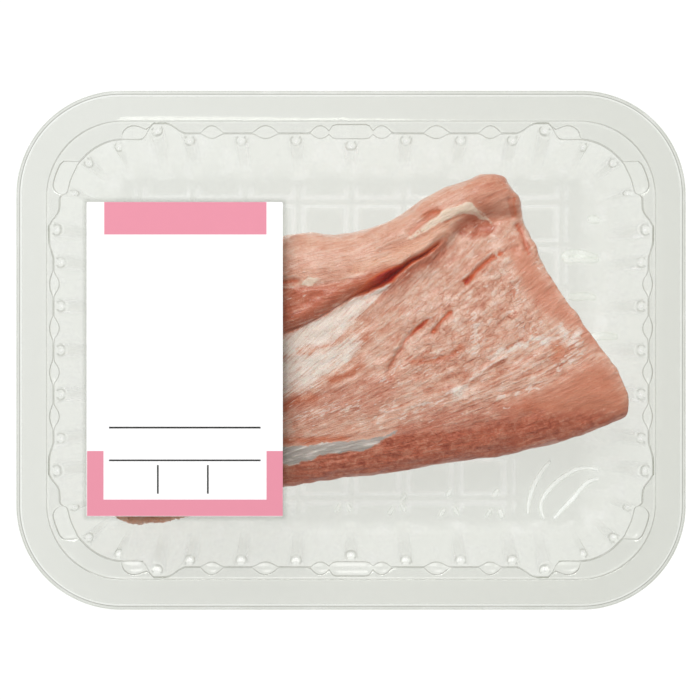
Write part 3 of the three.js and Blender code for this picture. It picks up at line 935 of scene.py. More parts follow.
# %% Meat: regions and noise
def inside(points, outline, soft):
    """1 inside a closed outline and 0 outside it, with a soft edge of a width in mm."""
    closed = np.vstack([outline, outline[:1]])
    gap, _, _ = line_measure(points, closed)
    within = np.zeros(len(points), bool)
    for (x0, y0), (x1, y1) in zip(closed[:-1], closed[1:]):
        crosses = (y0 > points[:, 1]) != (y1 > points[:, 1])
        at = (x1 - x0) * (points[:, 1] - y0) / (y1 - y0 + 1e-12) + x0
        within ^= crosses & (points[:, 0] < at)
    return smooth(-soft / 2, soft / 2, np.where(within, gap, -gap))


def rough(points, size, seed):
    """Smooth noise from -1 to 1 with lumps of about the given size in mm."""
    offset = Vector((seed * 17.3, seed * 5.1, seed * 9.7))
    return np.array([noise.noise(Vector(p) / size + offset) for p in points])


FOLD = seen([(240, 345), (262, 340), (283, 333), (305, 325), (320, 317), (335, 308), (352, 297), (365, 291), (380, 284),
             (390, 277), (400, 270), (410, 262), (420, 257), (432, 249), (440, 242), (450, 231)], 29)
LOBE = seen([(262, 285), (283, 284), (300, 286), (315, 286), (335, 283), (352, 279), (368, 273), (382, 269), (398, 265)], 32)
CREVICE = seen([(340, 304), (352, 298), (366, 292), (380, 286), (391, 281), (398, 275), (404, 270), (412, 265), (421, 259),
                (432, 251), (429, 252), (414, 260), (402, 264), (392, 268), (380, 273), (368, 281), (352, 293)], 30)
LOBE_CREASE = seen([(262, 284), (283, 283), (298, 281), (303, 277)], 32)
FAT_STRIP = seen([(403, 241), (413, 233), (418, 229), (425, 225), (431, 220), (437, 217), (441, 211), (450, 208), (460, 205),
                  (468, 202), (472, 203), (475, 208), (481, 213), (489, 219), (483, 219), (478, 216), (470, 214), (464, 213),
                  (458, 215), (450, 219), (444, 222), (438, 224), (430, 230), (420, 236), (411, 241)], 32)
FAT_SPOT = seen([(300, 284), (304, 280), (309, 277), (314, 278), (322, 278), (315, 283), (312, 287), (306, 287)], 32)
FAT_THREADS = [
    seen([(477, 209), (484, 212), (490, 220), (495, 228)], 31),
    seen([(262, 287), (283, 287), (300, 286)], 32),
]
STRIP_CREASE = seen([(408, 238), (416, 230), (424, 223), (432, 217), (440, 210)], 32)
HOLLOW = seen([(442, 224), (449, 221), (459, 215), (470, 214), (479, 218), (488, 221), (497, 226), (494, 232), (482, 238),
               (470, 238), (459, 234), (450, 232)], 29)
SOFT_ZONE = seen([(392, 285), (405, 262), (425, 250), (441, 238), (446, 222), (459, 212), (472, 205), (490, 205), (505, 201),
                  (530, 202), (530, 245), (500, 250), (470, 250), (440, 262), (415, 280)], 30)
HOLLOW_EDGE = seen([(441, 225), (449, 221), (459, 215), (470, 213), (480, 218)], 30)
SLIT = seen([(464, 284), (470, 279), (477, 271), (485, 264), (491, 259), (497, 255)], 30)
SLIT_PIT = seen([(498, 255), (503, 252)], 30)
SLIT_TAIL = seen([(503, 253), (509, 250), (515, 247), (523, 245)], 30)
GROOVE_LOW = seen([(387, 381), (388, 372), (393, 361), (400, 350), (407, 339), (414, 331), (423, 324), (434, 316)], 30)
GROOVE_HIGH = seen([(430, 334), (437, 326), (441, 321), (446, 316), (453, 309)], 30)
PATCH_FOLD = seen([(412, 361), (425, 360), (440, 358), (452, 353), (459, 347)], 30)
SHORT_FOLD = seen([(507, 279), (512, 285), (514, 293), (514, 301)], 30)
SEAM = seen([(454, 395), (462, 387), (472, 378), (480, 372), (489, 366), (500, 360), (512, 355)], 30)
SEAM_BLOB = seen([(455, 394), (463, 388)], 30)
UPPER_SEAM = seen([(490, 358), (505, 351), (516, 347), (528, 342), (541, 339), (556, 340)], 30)
SEAM_CLOUDS = seen([(534, 337), (546, 340), (562, 338), (564, 331), (578, 334), (572, 342)], 30)
KNOB_SEAM = seen([(507, 196), (509, 203), (511, 211), (514, 219)], 29)
EDGE_SLIVER = seen([(516, 221), (521, 230), (524, 240), (527, 248), (530, 257)], 28)
RIGHT_EDGE = seen([(521, 220), (535, 262), (553, 287), (570, 306), (586, 328), (603, 352), (618, 378), (628, 405)], 27)
FLAP_AXIS = seen([(190, 300), (262, 275), (300, 262), (360, 250), (420, 225), (470, 195), (530, 170)], 32)

FLAP = np.vstack([FOLD, seen([(470, 222), (488, 226), (500, 222), (521, 217), (535, 190), (505, 160), (440, 165), (380, 205),
                              (262, 220), (180, 225), (180, 345)], 30)])
# Where painted light makes the side muscle's lobe paler above the fold.
LOBE_RIM_PAINTED_LIGHT = seen([(352, 266), (380, 256), (402, 246), (425, 234), (445, 221), (456, 212), (464, 214), (454, 229), (441, 241),
                 (425, 252), (402, 261), (380, 265), (352, 275)], 32)
GRAIN_CHANGE = seen([(440, 240), (450, 231), (470, 222), (488, 226), (500, 222), (521, 217), (535, 190)], 30)
RED_LOBE = np.vstack([LOBE, seen([(410, 262), (425, 255), (437, 246), (441, 243)], 32), FOLD[::-1]])
PALE_SHEET = seen([(262, 348), (283, 337), (312, 322), (330, 312), (345, 304), (362, 294), (380, 287), (396, 278), (390, 288),
                   (376, 300), (362, 312), (352, 324), (344, 336), (326, 346), (300, 352), (283, 358), (270, 372), (262, 380)], 28)
PALE_BACK = seen([(398, 285), (420, 268), (445, 248), (470, 245), (492, 248), (470, 275), (462, 295), (440, 312),
                  (415, 325), (395, 335), (370, 345), (360, 330), (378, 305)], 30)
PALE_MEAT = seen([(262, 360), (283, 357), (310, 352), (340, 343), (356, 330), (362, 345), (350, 362), (330, 372), (316, 385),
                  (295, 392), (262, 395)], 29)
SILVER_SKIN = seen([(262, 449), (283, 447), (320, 443), (345, 441), (370, 438), (386, 434), (398, 429), (394, 433), (385, 437),
                    (380, 441), (377, 444), (370, 447), (362, 450), (345, 452), (318, 454), (312, 458), (303, 460),
                    (301, 464), (283, 464), (262, 466)], 24)
RUST_STREAKS = [
    (seen([(262, 441), (283, 440), (300, 440), (318, 440), (345, 438)], 27), 1.5),
    (seen([(331, 381), (342, 377), (352, 373), (361, 368)], 29), 1.3),
    (seen([(412, 362), (430, 361), (450, 356), (459, 348)], 29), 1.2),
    (seen([(424, 216), (432, 213), (439, 211)], 31), 1.6),
    (seen([(555, 349), (561, 347), (557, 357)], 29), 2.0),
    (seen([(353, 347), (360, 342), (368, 338)], 29), 0.8),
    (seen([(396, 252), (418, 243), (438, 230)], 31), 2.4),
    (seen([(514, 200), (515, 214)], 29), 1.3),
    (seen([(283, 407), (300, 400), (312, 398)], 29), 2.2),
]
RED_MEAT = seen([(262, 395), (283, 392), (330, 386), (360, 378), (385, 372), (400, 385), (395, 400), (375, 412),
                 (350, 416), (300, 420), (262, 426)], 29)
LOWER_FACE = seen([(180, 480), (262, 467), (283, 465), (301, 464), (303, 460), (312, 458), (318, 454), (345, 452), (362, 450),
                   (377, 444), (385, 437), (398, 432), (420, 431), (440, 429), (463, 426),
                   (502, 418), (540, 409), (579, 409), (610, 410), (640, 402), (640, 445), (500, 475),
                   (262, 505), (180, 510)], 22)
RED_BAND = seen([(396, 431), (408, 420), (424, 410), (450, 406), (480, 407), (510, 404), (532, 401), (538, 412), (500, 424),
                 (463, 431), (436, 436), (408, 438)], 24)
SMOOTH_END = seen([(500, 408), (520, 398), (545, 388), (565, 378), (580, 366), (600, 360), (620, 380), (634, 412),
                   (600, 425), (556, 420), (515, 416)], 27)
EDGE_BAND = seen([(508, 246), (521, 240), (530, 256), (548, 280), (566, 305), (590, 335), (606, 352), (590, 346), (572, 326),
                  (557, 320), (543, 312), (532, 300), (522, 282), (513, 264)], 29)
STRIATED = seen([(445, 408), (470, 388), (495, 368), (520, 356), (548, 347), (575, 342), (600, 352), (592, 366),
                 (560, 384), (525, 398), (495, 408), (470, 412)], 30)
CRINKLED = seen([(410, 300), (440, 275), (465, 290), (490, 262), (515, 262), (525, 300), (550, 320), (545, 334),
                 (505, 350), (470, 370), (430, 385), (400, 378), (398, 350)], 30)
# Patches where more painted glints gather.
GLINT_PATCHES = [
    (seen([(300, 417), (318, 413), (334, 407)], 29), 2.0),
    (seen([(342, 412), (358, 405)], 29), 1.6),
    (seen([(379, 418), (394, 405)], 29), 1.6),
    (seen([(402, 417), (424, 401)], 29), 1.8),
    (seen([(430, 405), (448, 394)], 29), 1.4),
    (seen([(386, 378), (402, 366)], 29), 1.5),
    (seen([(498, 398), (545, 385)], 29), 1.3),
    (seen([(560, 368), (578, 352)], 29), 2.4),
    (seen([(516, 288), (520, 302)], 30), 0.9),
    (seen([(470, 300), (478, 352)], 30), 1.6),
    (seen([(495, 410), (514, 407)], 27), 0.7),
]
# Where the tail's tip is painted lighter against the label's shadow.
TAIL_TIP = seen([(90, 495), (215, 495), (215, 535), (90, 535)], 10)
TAIL_ROOT = np.array([-72.0, -50.0])
print("lines and regions placed")

# %% [markdown]
# ## Meat: carving
#
# The carving moves each vertex. First come the broad swellings of a relaxed muscle, along the normals. Then the folds
# and grooves are pressed straight down along their lines, steep on one side where a lobe hangs over the fold. Last come
# the low ridges of the fibre bundles. They spread like a fan from the tail, so each vertex gets a place measured along
# and across its fibres, which the material uses again for the finest ones.

# %% Meat: carve
def fibre_places(points):
    """Places in mm along, across and above the fibres. The side muscle's fibres follow its own bent axis."""
    off = points[:, :2] - TAIL_ROOT
    reach = np.hypot(off[:, 0], off[:, 1])
    turn = np.arctan2(off[:, 1], off[:, 0]) - 6e-6 * np.maximum(reach - 55, 0) ** 2
    main = np.stack([reach, turn * 95.0, points[:, 2]], -1)
    gap, share, side = line_measure(points[:, :2], FLAP_AXIS)
    length = np.linalg.norm(np.diff(FLAP_AXIS, axis=0), axis=1).sum()
    flap = np.stack([share * length, gap * side + 200.0, points[:, 2]], -1)
    return np.where(inside(points[:, :2], FLAP, 0.1)[:, None] > 0.5, flap, main)


def read_mesh(mesh):
    places = np.zeros(len(mesh.vertices) * 3)
    mesh.vertices.foreach_get("co", places)
    normals = np.zeros(len(mesh.vertices) * 3)
    mesh.vertex_normals.foreach_get("vector", normals)
    return places.reshape(-1, 3) / MM, normals.reshape(-1, 3)


def smooth_mesh(piece, factor, repeat):
    smoothing = piece.modifiers.new("relax", "SMOOTH")
    smoothing.factor = factor
    smoothing.iterations = repeat
    apply_modifiers(piece)


def tapered(share, start, end):
    """1 along the middle of a line, falling to 0 at its two ends."""
    return smooth(0, start, share) * smooth(0, end, 1 - share)


def smooth_within(piece, outline, soft, repeat):
    """Relaxes only the part of a piece that lies inside an outline."""
    weights = inside(read_mesh(piece.data)[0][:, :2], outline, soft)
    group = piece.vertex_groups.new(name="relaxed")
    levels = np.round(weights * 10).astype(int)
    for level in range(1, 11):
        group.add(np.flatnonzero(levels == level).tolist(), level / 10, "REPLACE")
    smoothing = piece.modifiers.new("relax", "SMOOTH")
    smoothing.factor = 0.5
    smoothing.iterations = repeat
    smoothing.vertex_group = group.name
    apply_modifiers(piece)
    piece.vertex_groups.clear()


smooth_mesh(meat_piece, 0.5, 4)
smooth_within(meat_piece, SOFT_ZONE, 5.0, 130)
places, normals = read_mesh(meat_piece.data)
flat = places[:, :2]
top_side = smooth(12.0, 20.0, places[:, 2]) * smooth(-0.2, 0.1, normals[:, 2])
not_under = smooth(-0.5, 0.0, normals[:, 2])
wobble = np.stack([rough(places, 3.0, 1), rough(places, 3.0, 2)], -1)
lumps = rough(places, 6.0, 7)


def stroke(line, width, ends=(0.12, 0.12), wander=0.4, near=None, far=None):
    """Weight from 0 to 1 along a line, its share of the way, and which side. Near and far give two widths."""
    gap, share, side = line_measure(flat + wobble * wander, line)
    widths = np.where(side > 0, near, far) if near else width
    return np.exp(-(gap / widths) ** 2) * tapered(share, *ends) * top_side, share, side


fibres = fibre_places(places)
in_flap = inside(flat, FLAP, 2.0)
striated = inside(flat + wobble, STRIATED, 7.0) * top_side
crinkled = inside(flat + wobble, CRINKLED, 14.0) * top_side
edge_band = inside(flat + wobble, EDGE_BAND, 5.0)
smooth_end = np.maximum(inside(flat + 1.5 * wobble, SMOOTH_END, 9.0), 0.8 * edge_band)
silver = inside(flat + wobble * 0.7, SILVER_SKIN, 2.4) * not_under
lower_soft = 2.4 + 6.0 * smooth(6.0, 38.0, flat[:, 0])
shaded_lower_face = inside(flat + wobble * 0.6, LOWER_FACE, lower_soft) * not_under

out_lift = 0.8 * rough(places, 17.0, 3) + 0.45 * lumps + 0.18 * rough(places, 3.0, 5)
out_lift *= not_under

down = np.zeros(len(places))
fold, fold_share, _ = stroke(FOLD, 1.0, (0.02, 0.1), 0.3, near=1.1, far=0.8)
fold_depth = 0.30 + 0.70 * smooth(0.4, 0.65, fold_share) * smooth(1.0, 0.85, fold_share)
down += 2.6 * fold * fold_depth
# How much of the fold's dark red, partly painted shade, each vertex takes.
fold_tint, _, _ = stroke(FOLD, 1.0, (0.02, 0.1), 0.3, near=1.1, far=1.1)
fold_tint *= 0.28 + 0.5 * smooth(0.48, 0.62, fold_share) - 0.25 * smooth(0.82, 0.97, fold_share)
crevice = inside(flat + wobble * 0.3, CREVICE, 1.8) * top_side
blush, _, _ = stroke(FOLD + np.array([1.2, -2.6]), 3.2, (0.3, 0.05), 0.6)
blush *= smooth(0.55, 0.72, fold_share)
glow, _, _ = stroke(FOLD + np.array([-1.3, 3.8]), 2.2, (0.3, 0.15), 0.6)
glow *= smooth(0.45, 0.6, fold_share)
lobe_swell, _, _ = stroke(FOLD + np.array([-1.4, 3.2]), 2.6, (0.02, 0.1), 0.3)
down -= 1.4 * lobe_swell * (1 - 0.65 * smooth(0.72, 0.9, fold_share))
shoulder, _, _ = stroke(FOLD + np.array([2.0, -4.2]), 3.0, (0.1, 0.15), 0.3)
down -= 1.3 * shoulder * smooth(0.3, 0.6, fold_share)
lobe, _, _ = stroke(LOBE, 0.8, (0.02, 0.3), 0.4, near=2.0, far=0.7)
lobe_crease, _, _ = stroke(LOBE_CREASE, 0.8, (0.02, 0.2), 0.2, near=1.6, far=0.6)
down += 0.8 * lobe + 1.0 * lobe_crease
strip = inside(flat + wobble * 0.35, FAT_STRIP, 1.6) * top_side
spot = inside(flat + wobble * 0.35, FAT_SPOT, 1.6) * top_side
down -= 0.45 * strip + 0.5 * spot
crease, _, _ = stroke(STRIP_CREASE, 0.8, (0.1, 0.1), 0.3, near=1.8, far=0.5)
hollow_edge, _, _ = stroke(HOLLOW_EDGE, 0.5, (0.1, 0.1), 0.3)
down += 1.2 * crease + 0.35 * hollow_edge
threads = np.maximum.reduce([stroke(line, 0.7, (0.05, 0.2), 0.7)[0] for line in FAT_THREADS])
down -= 0.25 * threads
slit, slit_share, _ = stroke(SLIT, 0.8, (0.03, 0.04), 0.1, near=1.3, far=1.0)
slit_tint, _, _ = stroke(SLIT, 0.8, (0.03, 0.04), 0.1, near=1.25, far=0.9)
slit_pit, _, _ = stroke(SLIT_PIT, 1.1, (0.02, 0.02), 0.1)
slit_tail, _, _ = stroke(SLIT_TAIL, 1.1, (0.1, 0.3), 0.3, near=0.7, far=1.4)
lip, _, _ = stroke(SLIT + np.array([-1.2, 1.3]), 0.9, (0.05, 0.1), 0.2)
down += 1.4 * slit + 0.9 * slit_pit + 0.8 * slit_tail - 0.6 * lip
groove_low, groove_share, _ = stroke(GROOVE_LOW, 1.0, (0.1, 0.1), 0.5, near=0.7, far=1.6)
groove_high, _, _ = stroke(GROOVE_HIGH, 0.9, (0.1, 0.1), 0.4, near=0.6, far=1.2)
groove_line, groove_share, _ = stroke(GROOVE_LOW, 0.65, (0.25, 0.12), 0.3)
down += 1.5 * groove_low + 1.1 * groove_high
patch_fold, _, _ = stroke(PATCH_FOLD, 0.9, (0.2, 0.2), 0.5, near=0.8, far=1.4)
short_fold, _, _ = stroke(SHORT_FOLD, 0.6, (0.2, 0.2), 0.3)
down += 0.7 * patch_fold + 0.7 * short_fold
seam_ridge, _, _ = stroke(SEAM, 0.7, (0.1, 0.15), 0.8)
seam_under, _, _ = stroke(SEAM + np.array([0.7, -1.6]), 1.2, (0.2, 0.15), 0.8, near=0.8, far=2.4)
down += 0.35 * seam_under - 0.5 * seam_ridge
knob, _, _ = stroke(KNOB_SEAM, 0.8, (0.1, 0.1), 0.2)
sliver, _, _ = stroke(EDGE_SLIVER, 1.1, (0.1, 0.1), 0.2)
down += 1.2 * knob + 0.8 * sliver
hollow = inside(flat + wobble * 0.8, HOLLOW, 2.5) * top_side
down += 0.5 * hollow
out_lift += 0.35 * silver

bundles = rough(np.stack([fibres[:, 0] / 7.0, fibres[:, 1] / 2.2, fibres[:, 2] / 6.0], -1), 1.0, 6)
pillows = rough(np.stack([fibres[:, 0] / 5.0, fibres[:, 1] / 3.0, fibres[:, 2] / 5.0], -1), 1.0, 8)
crinkles = rough(places, 2.0, 9)
still = (1 - 0.8 * smooth_end) * (1 - 0.8 * silver) * (1 - 0.5 * in_flap)
relief = (0.45 * pillows + 0.35 * bundles) * still + 0.22 * crinkles * crinkled + 0.15 * bundles * striated
out_lift += relief * not_under

places += normals * out_lift[:, None]
places[:, 2] -= down
places[:, 2] = np.clip(places[:, 2], meat_low.z / MM, meat_high.z / MM)
places[:, 0] = np.minimum(places[:, 0], meat_high.x / MM)
meat_piece.data.vertices.foreach_set("co", (places * MM).ravel())
meat_piece.data.update()
print(f"pressed in up to {down.max():.1f} mm; the meat tops out at {places[:, 2].max():.1f} mm")

# %% [markdown]
# ## Meat: painting with attributes
#
# What the carving knows about each vertex is kept for the material: where fat and silverskin lie, where the folds,
# grooves and lower face are painted a darker red, partly as shade, and where painted light and glints go. An attribute
# travels with the mesh, so the colours stay in their places from every side.

# %% Meat: attributes
def keep_attribute(piece, name, values):
    attribute = piece.data.attributes.new(name, "FLOAT", "POINT")
    attribute.data.foreach_set("value", np.clip(values, 0, 1).astype(np.float32))


def patches(marks, wander=0.8):
    """How near each vertex is to any of several short lines, each with its own width in mm."""
    return np.maximum.reduce([
        np.exp(-(line_measure(flat + wobble * wander, line)[0] / width) ** 2) for line, width in marks
    ])


knob_end = smooth(30.0, 46.0, flat[:, 0]) * in_flap
clouds = patches([(SEAM_CLOUDS[i:i + 2], 1.9) for i in (0, 2, 4)] + [(UPPER_SEAM, 1.1), (SEAM_BLOB, 1.9)], 1.5)
pale_sheet = inside(flat + wobble * 1.5, PALE_SHEET, 5.0) * top_side
pale_meat = inside(flat + wobble * 2.0, PALE_MEAT, 7.0) * top_side
pale_back = inside(flat + wobble * 2.0, PALE_BACK, 9.0) * top_side
redder_and_shaded = inside(flat + wobble * 0.5, RED_LOBE, 3.0) * top_side
red_band = inside(flat + wobble * 2.0, RED_BAND, 7.0) * not_under
red_meat = inside(flat + wobble * 2.5, RED_MEAT, 8.0) * top_side
# Dark red in the folds, grooves, slit and creases: partly the redder meat there and partly painted shade.
deep_red_and_shade = np.maximum.reduce([
    fold_tint, crevice * (0.5 + 0.45 * np.exp(-((fold_share - 0.69) / 0.1) ** 2)), slit_tint * (0.5 + 0.38 * smooth(0.35, 0.05, slit_share)), 0.5 * slit_pit, 0.22 * slit_tail,
    groove_line * (0.35 + 0.5 * np.exp(-((groove_share - 0.8) / 0.13) ** 2)), 0.5 * groove_high, 0.25 * knob,
    0.45 * lobe_crease, 0.3 * crease, 0.3 * hollow_edge, 0.3 * sliver, 0.3 * short_fold,
])
painted = {
    "fat": np.maximum.reduce([strip * (0.6 + 0.4 * smooth(22.0, 30.0, flat[:, 0])), 0.95 * spot, threads * 0.6]),
    "silverskin": silver,
    # The slit's raised lip is whitened here as a painted highlight, along with the pale connective tissue.
    "connective": np.maximum.reduce([pale_sheet, 0.9 * clouds * top_side, 0.95 * pale_meat, 0.1 * pale_back, 0.7 * seam_ridge, 0.4 * lip]),
    "deep_red_and_shade": deep_red_and_shade,
    "shaded_lower_face": shaded_lower_face * (1 - 0.2 * smooth(30.0, 75.0, flat[:, 0])),
    "redder_and_shaded": np.maximum.reduce([0.9 * redder_and_shaded, 0.8 * hollow, 0.8 * sliver, 0.4 * red_meat, 0.75 * blush, 0.6 * red_band]),
    "warm": np.maximum.reduce([0.8 * smooth_end, patches(RUST_STREAKS) * top_side, 0.55 * knob_end, 0.12 * in_flap, 0.6 * glow]),
    "calm": np.maximum.reduce([smooth_end, 0.35 * in_flap, silver]),
    "painted_glint_patches": patches(GLINT_PATCHES) * top_side,
    "crinkled": crinkled,
    "striated": striated,
    "tail_tip_painted_light": inside(flat, TAIL_TIP, 3.0),
    "lobe_rim_painted_light": 0.85 * inside(flat, LOBE_RIM_PAINTED_LIGHT, 4.0),
    "grain_change": np.exp(-(line_measure(flat, GRAIN_CHANGE)[0] / 1.1) ** 2),
}
for name, values in painted.items():
    keep_attribute(meat_piece, name, values)
flow = meat_piece.data.attributes.new("fibre_place", "FLOAT_VECTOR", "POINT")
flow.data.foreach_set("vector", (fibre_places(places) * MM).astype(np.float32).ravel())
for polygon in meat_piece.data.polygons:
    polygon.use_smooth = True
print(f"{len(painted)} painted attributes and the fibres' own places kept")

# %% [markdown]
# ## Raw pork
#
# Raw pork is moist and slightly translucent: light enters it and comes out pink a millimetre away, and its wet skin
# gives small glints, partly from its gloss and partly painted into the colour as white strokes. The bundles of fibres
# are pillows about 2 mm wide and 6 mm long with narrow valleys between them, under a crinkled skin. One height pattern
# makes
# the bump and the colour together: the valleys are painted redder and darker and the ridges paler, which is partly the
# meat's own colour and partly painted shade and light on the relief. The attributes then lay fat, silverskin and dark
# meat on top, the dark red of the folds partly painted shade, with painted light on the lobe's rim and the tail's tip.

# %% Pork material
def pork_material():
    material, tree = new_material("raw_pork")
    place = add(tree, "TexCoord").outputs["Object"]
    flow = add(tree, "Attribute", attribute_name="fibre_place").outputs["Vector"]

    def stretched(along, across, above):
        """The fibres' places, scaled so that one unit is a length in mm in each direction."""
        scale = [1 / (size * MM) for size in (along, across, above)]
        return add(tree, "Mapping", {"Vector": flow, "Scale": scale}).outputs["Vector"]

    def pattern(vector, detail, roughness=0.5, kind="FBM", warp=0.0):
        return add(tree, "TexNoise", {
            "Vector": vector, "Scale": 1.0, "Detail": detail, "Roughness": roughness, "Distortion": warp,
        }, noise_type=kind).outputs["Fac"]

    def ranged(value, low, high, to_low=0.0, to_high=1.0):
        return add(tree, "MapRange", {
            "Value": value, "From Min": low, "From Max": high, "To Min": to_low, "To Max": to_high,
        }).outputs["Result"]

    def attribute(name):
        return add(tree, "Attribute", attribute_name=name).outputs["Fac"]

    def maths(operation, *values):
        return add(tree, "Math", dict(enumerate(values)), operation=operation).outputs[0]

    def mixed(factor, a, b):
        made = add(tree, "Mix", data_type="RGBA")
        for socket, value in (("Factor", factor), ("A", a), ("B", b)):
            if isinstance(value, bpy.types.NodeSocket):
                tree.links.new(value, made.inputs[socket])
            else:
                made.inputs[socket].default_value = linear(value) if isinstance(value, str) else value
        return made.outputs["Result"]

    def in_mm(size):
        return add(tree, "Mapping", {"Vector": place, "Scale": [1 / (size * MM)] * 3}).outputs["Vector"]

    def total(start, *terms):
        """A start value plus each value times its weight."""
        for weight, value in terms:
            start = maths("MULTIPLY_ADD", value, weight, start)
        return start

    def swing(value):
        """Noise, which keeps close to one half, spread out to about -1 to 1."""
        return ranged(value, 0.25, 0.75, -1.0, 1.0)

    def shades(value, *stops):
        ramp = add(tree, "ValToRGB", {"Fac": value})
        colours = ramp.color_ramp.elements
        colours.remove(colours[1])
        for place, colour in stops:
            stop = colours[0] if place == stops[0][0] else colours.new(place)
            stop.position, stop.color = place, linear(colour)
        return ramp.outputs["Color"]

    blotches = swing(pattern(in_mm(5.5), 4.0, 0.6, warp=0.8))
    bundle = swing(pattern(stretched(8.0, 1.9, 4.0), 3.0, 0.6, warp=0.5))
    streak = swing(pattern(stretched(8.0, 0.75, 2.0), 2.0, 0.5, warp=0.25))
    fibre = swing(pattern(stretched(5.0, 0.45, 1.2), 2.0, 0.6, warp=0.3))
    crinkle = swing(pattern(in_mm(1.1), 3.0, 0.6, warp=1.2))
    glint = pattern(stretched(2.4, 0.7, 1.2), 1.0, 0.5, warp=0.5)
    contour = swing(pattern(stretched(2.6, 1.3, 1.8), 2.0, 0.5, warp=0.6))
    crease_shade_lines = ranged(maths("ABSOLUTE", contour), 0.0, 0.10, 1.0, 0.0)
    crease_shade_lines = maths("MULTIPLY", crease_shade_lines, ranged(pattern(in_mm(2.6), 2.0), 0.45, 0.60))
    edge_noise = ranged(crinkle, -1.0, 1.0, -0.25, 0.25)
    cell_place = add(tree, "VectorMath", {
        0: add(tree, "TexNoise", {"Vector": in_mm(2.2), "Scale": 1.0, "Detail": 1.0}).outputs["Color"],
        1: [1.0, 1.0, 1.0],
        2: stretched(2.9, 1.3, 2.0),
    }, operation="MULTIPLY_ADD").outputs["Vector"]
    cell_edge = add(tree, "TexVoronoi", {"Vector": cell_place, "Scale": 1.0},
                    feature="DISTANCE_TO_EDGE").outputs["Distance"]
    cell_tone = add(tree, "TexVoronoi", {"Vector": cell_place, "Scale": 1.0}, feature="F1").outputs["Color"]
    pillow = ranged(cell_edge, 0.0, 0.18, -1.0, 0.4)
    crinkled, striated, deep_red_and_shade = attribute("crinkled"), attribute("striated"), attribute("deep_red_and_shade")
    lively = maths("SUBTRACT", 1.0, attribute("calm"))
    cobbled = maths("MULTIPLY", ranged(crinkled, 0.0, 1.0, 0.35, 1.0), lively)

    height = total(
        0.0,
        (0.16, bundle),
        (maths("MULTIPLY", cobbled, 0.10), pillow),
        (ranged(striated, 0.0, 1.0, 0.07, 0.16), streak),
        (0.035, fibre),
        (maths("MULTIPLY", lively, 0.10), crinkle),
    )
    # Where the tone follows the same patterns as the height, the valleys are painted darker and redder and the ridges
    # paler: partly the meat's own colour and partly painted shade and light on the relief.
    tone = total(
        0.52,
        (maths("MULTIPLY", lively, 0.17), blotches),
        (maths("MULTIPLY", lively, 0.16), bundle),
        (maths("MULTIPLY", cobbled, 0.09), pillow),
        (maths("MULTIPLY", cobbled, 0.08), swing(cell_tone)),
        (maths("MULTIPLY", ranged(striated, 0.0, 1.0, 0.15, 0.30), ranged(lively, 0.0, 1.0, 0.4, 1.0)), streak),
        (0.06, fibre),
        (0.08, crinkle),
    )

    flesh = shades(tone, (0.0, "#a04c34"), (0.28, "#cc8a70"), (0.5, "#dfad97"), (0.72, "#ebc8b6"), (1.0, "#f7e8df"))
    flesh = mixed(maths("MULTIPLY", attribute("warm"), 0.85), flesh,
                  shades(tone, (0.2, "#b65631"), (0.55, "#ca6e47"), (0.9, "#dd946f")))
    # Redder meat on the side muscle's lower lobe, below the fold and along the lower edge: partly its own colour and
    # partly painted shade on the lobe's underside.
    flesh = mixed(attribute("redder_and_shaded"), flesh, shades(tone, (0.2, "#a2452a"), (0.5, "#bf6344"), (0.85, "#dfa488")))
    # Painted light: the tail's tip, in the label's shadow, is painted lighter and brighter orange.
    flesh = mixed(attribute("tail_tip_painted_light"), flesh, shades(tone, (0.2, "#f2926a"), (0.55, "#ffb996"), (0.9, "#ffe0cd")))
    # Painted light: the lobe's rim above the fold is painted paler, where its slope would lie in shade.
    flesh = mixed(attribute("lobe_rim_painted_light"), flesh, shades(tone, (0.2, "#dd9a7a"), (0.5, "#f0bda3"), (0.9, "#fbe0d0")))
    mottle = swing(pattern(in_mm(2.4), 4.0, 0.65, warp=0.6))
    face_tone = total(0.5, (0.34, mottle), (0.14, streak), (0.1, crinkle))
    # The lower side face: a deeper red-brown, partly its own colour and partly painted shade, as it faces away from the
    # light.
    flesh = mixed(ranged(attribute("shaded_lower_face"), 0.2, 0.8), flesh,
                  shades(face_tone, (0.1, "#8b3623"), (0.5, "#bd674c"), (0.9, "#d9967c")))
    sheet = ranged(total(0.0, (1.0, attribute("connective")), (0.34, streak), (0.18, crinkle)), 0.30, 0.98, 0.0, 0.96)
    flesh = mixed(sheet, flesh, "#f4e8de")
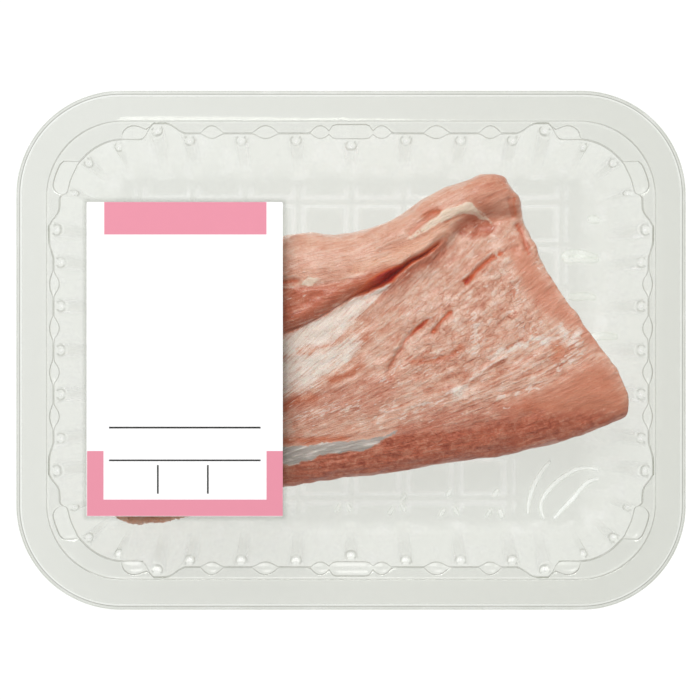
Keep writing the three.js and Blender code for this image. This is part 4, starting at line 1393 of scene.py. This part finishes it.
    # The folds' dark red in three steps: partly the meat's own colour and partly painted shade.
    flesh = mixed(ranged(deep_red_and_shade, 0.12, 0.5, 0.0, 0.95), flesh, "#cf5f30")
    flesh = mixed(ranged(deep_red_and_shade, 0.5, 0.85, 0.0, 1.0), flesh, "#b32d1b")
    flesh = mixed(ranged(deep_red_and_shade, 0.82, 1.0, 0.0, 0.8), flesh, "#93180f")
    skin = ranged(maths("ADD", attribute("silverskin"), edge_noise), 0.40, 0.60)
    flesh = mixed(skin, flesh, shades(bundle, (0.0, "#b3aaa4"), (0.5, "#d2c8c1"), (1.0, "#eee9e4")))
    flesh = mixed(ranged(maths("ADD", attribute("fat"), edge_noise), 0.35, 0.75, 0.0, 0.95), flesh, "#edd8c4")
    # Painted glints: small white strokes in the colour, most in the glint patches and fewest where the meat is calm, on
    # the lower face and in the folds.
    highlight_white = total(0.0, (1.0, glint), (0.20, attribute("painted_glint_patches")), (-0.10, attribute("calm")),
                  (-0.12, attribute("shaded_lower_face")), (-0.2, deep_red_and_shade))
    flesh = mixed(ranged(highlight_white, 0.66, 0.76, 0.0, 0.6), flesh, "#f5e6dc")
    # Painted shade: thin darker lines where fine creases would hold shade.
    flesh = mixed(maths("MULTIPLY", crease_shade_lines, maths("MULTIPLY", cobbled, 0.55)), flesh, "#b5664a")

    strength = ranged(attribute("grain_change"), 0.0, 1.0, 1.0, 0.0)
    bump = add(tree, "Bump", {"Height": height, "Distance": MM, "Strength": strength})
    meat = add(tree, "BsdfPrincipled", {
        "Base Color": flesh,
        "Roughness": ranged(blotches, -1.0, 1.0, 0.26, 0.42),
        "IOR": 1.4,
        "Specular IOR Level": 0.4,
        "Subsurface Weight": 0.12,
        "Subsurface Radius": (1.0, 0.35, 0.2),
        "Subsurface Scale": 1.0 * MM,
        "Coat Weight": ranged(maths("MAXIMUM", attribute("shaded_lower_face"), attribute("connective")), 0.0, 1.0, 0.32, 0.05),
        "Coat Roughness": 0.16,
        "Normal": bump.outputs["Normal"],
    })
    add(tree, "OutputMaterial", {"Surface": meat.outputs[0]})
    return material


meat_piece.data.materials.append(pork_material())
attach(meat_piece, "root")
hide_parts("tenderloin")
print(f"meat: {len(meat_piece.data.polygons)} faces")
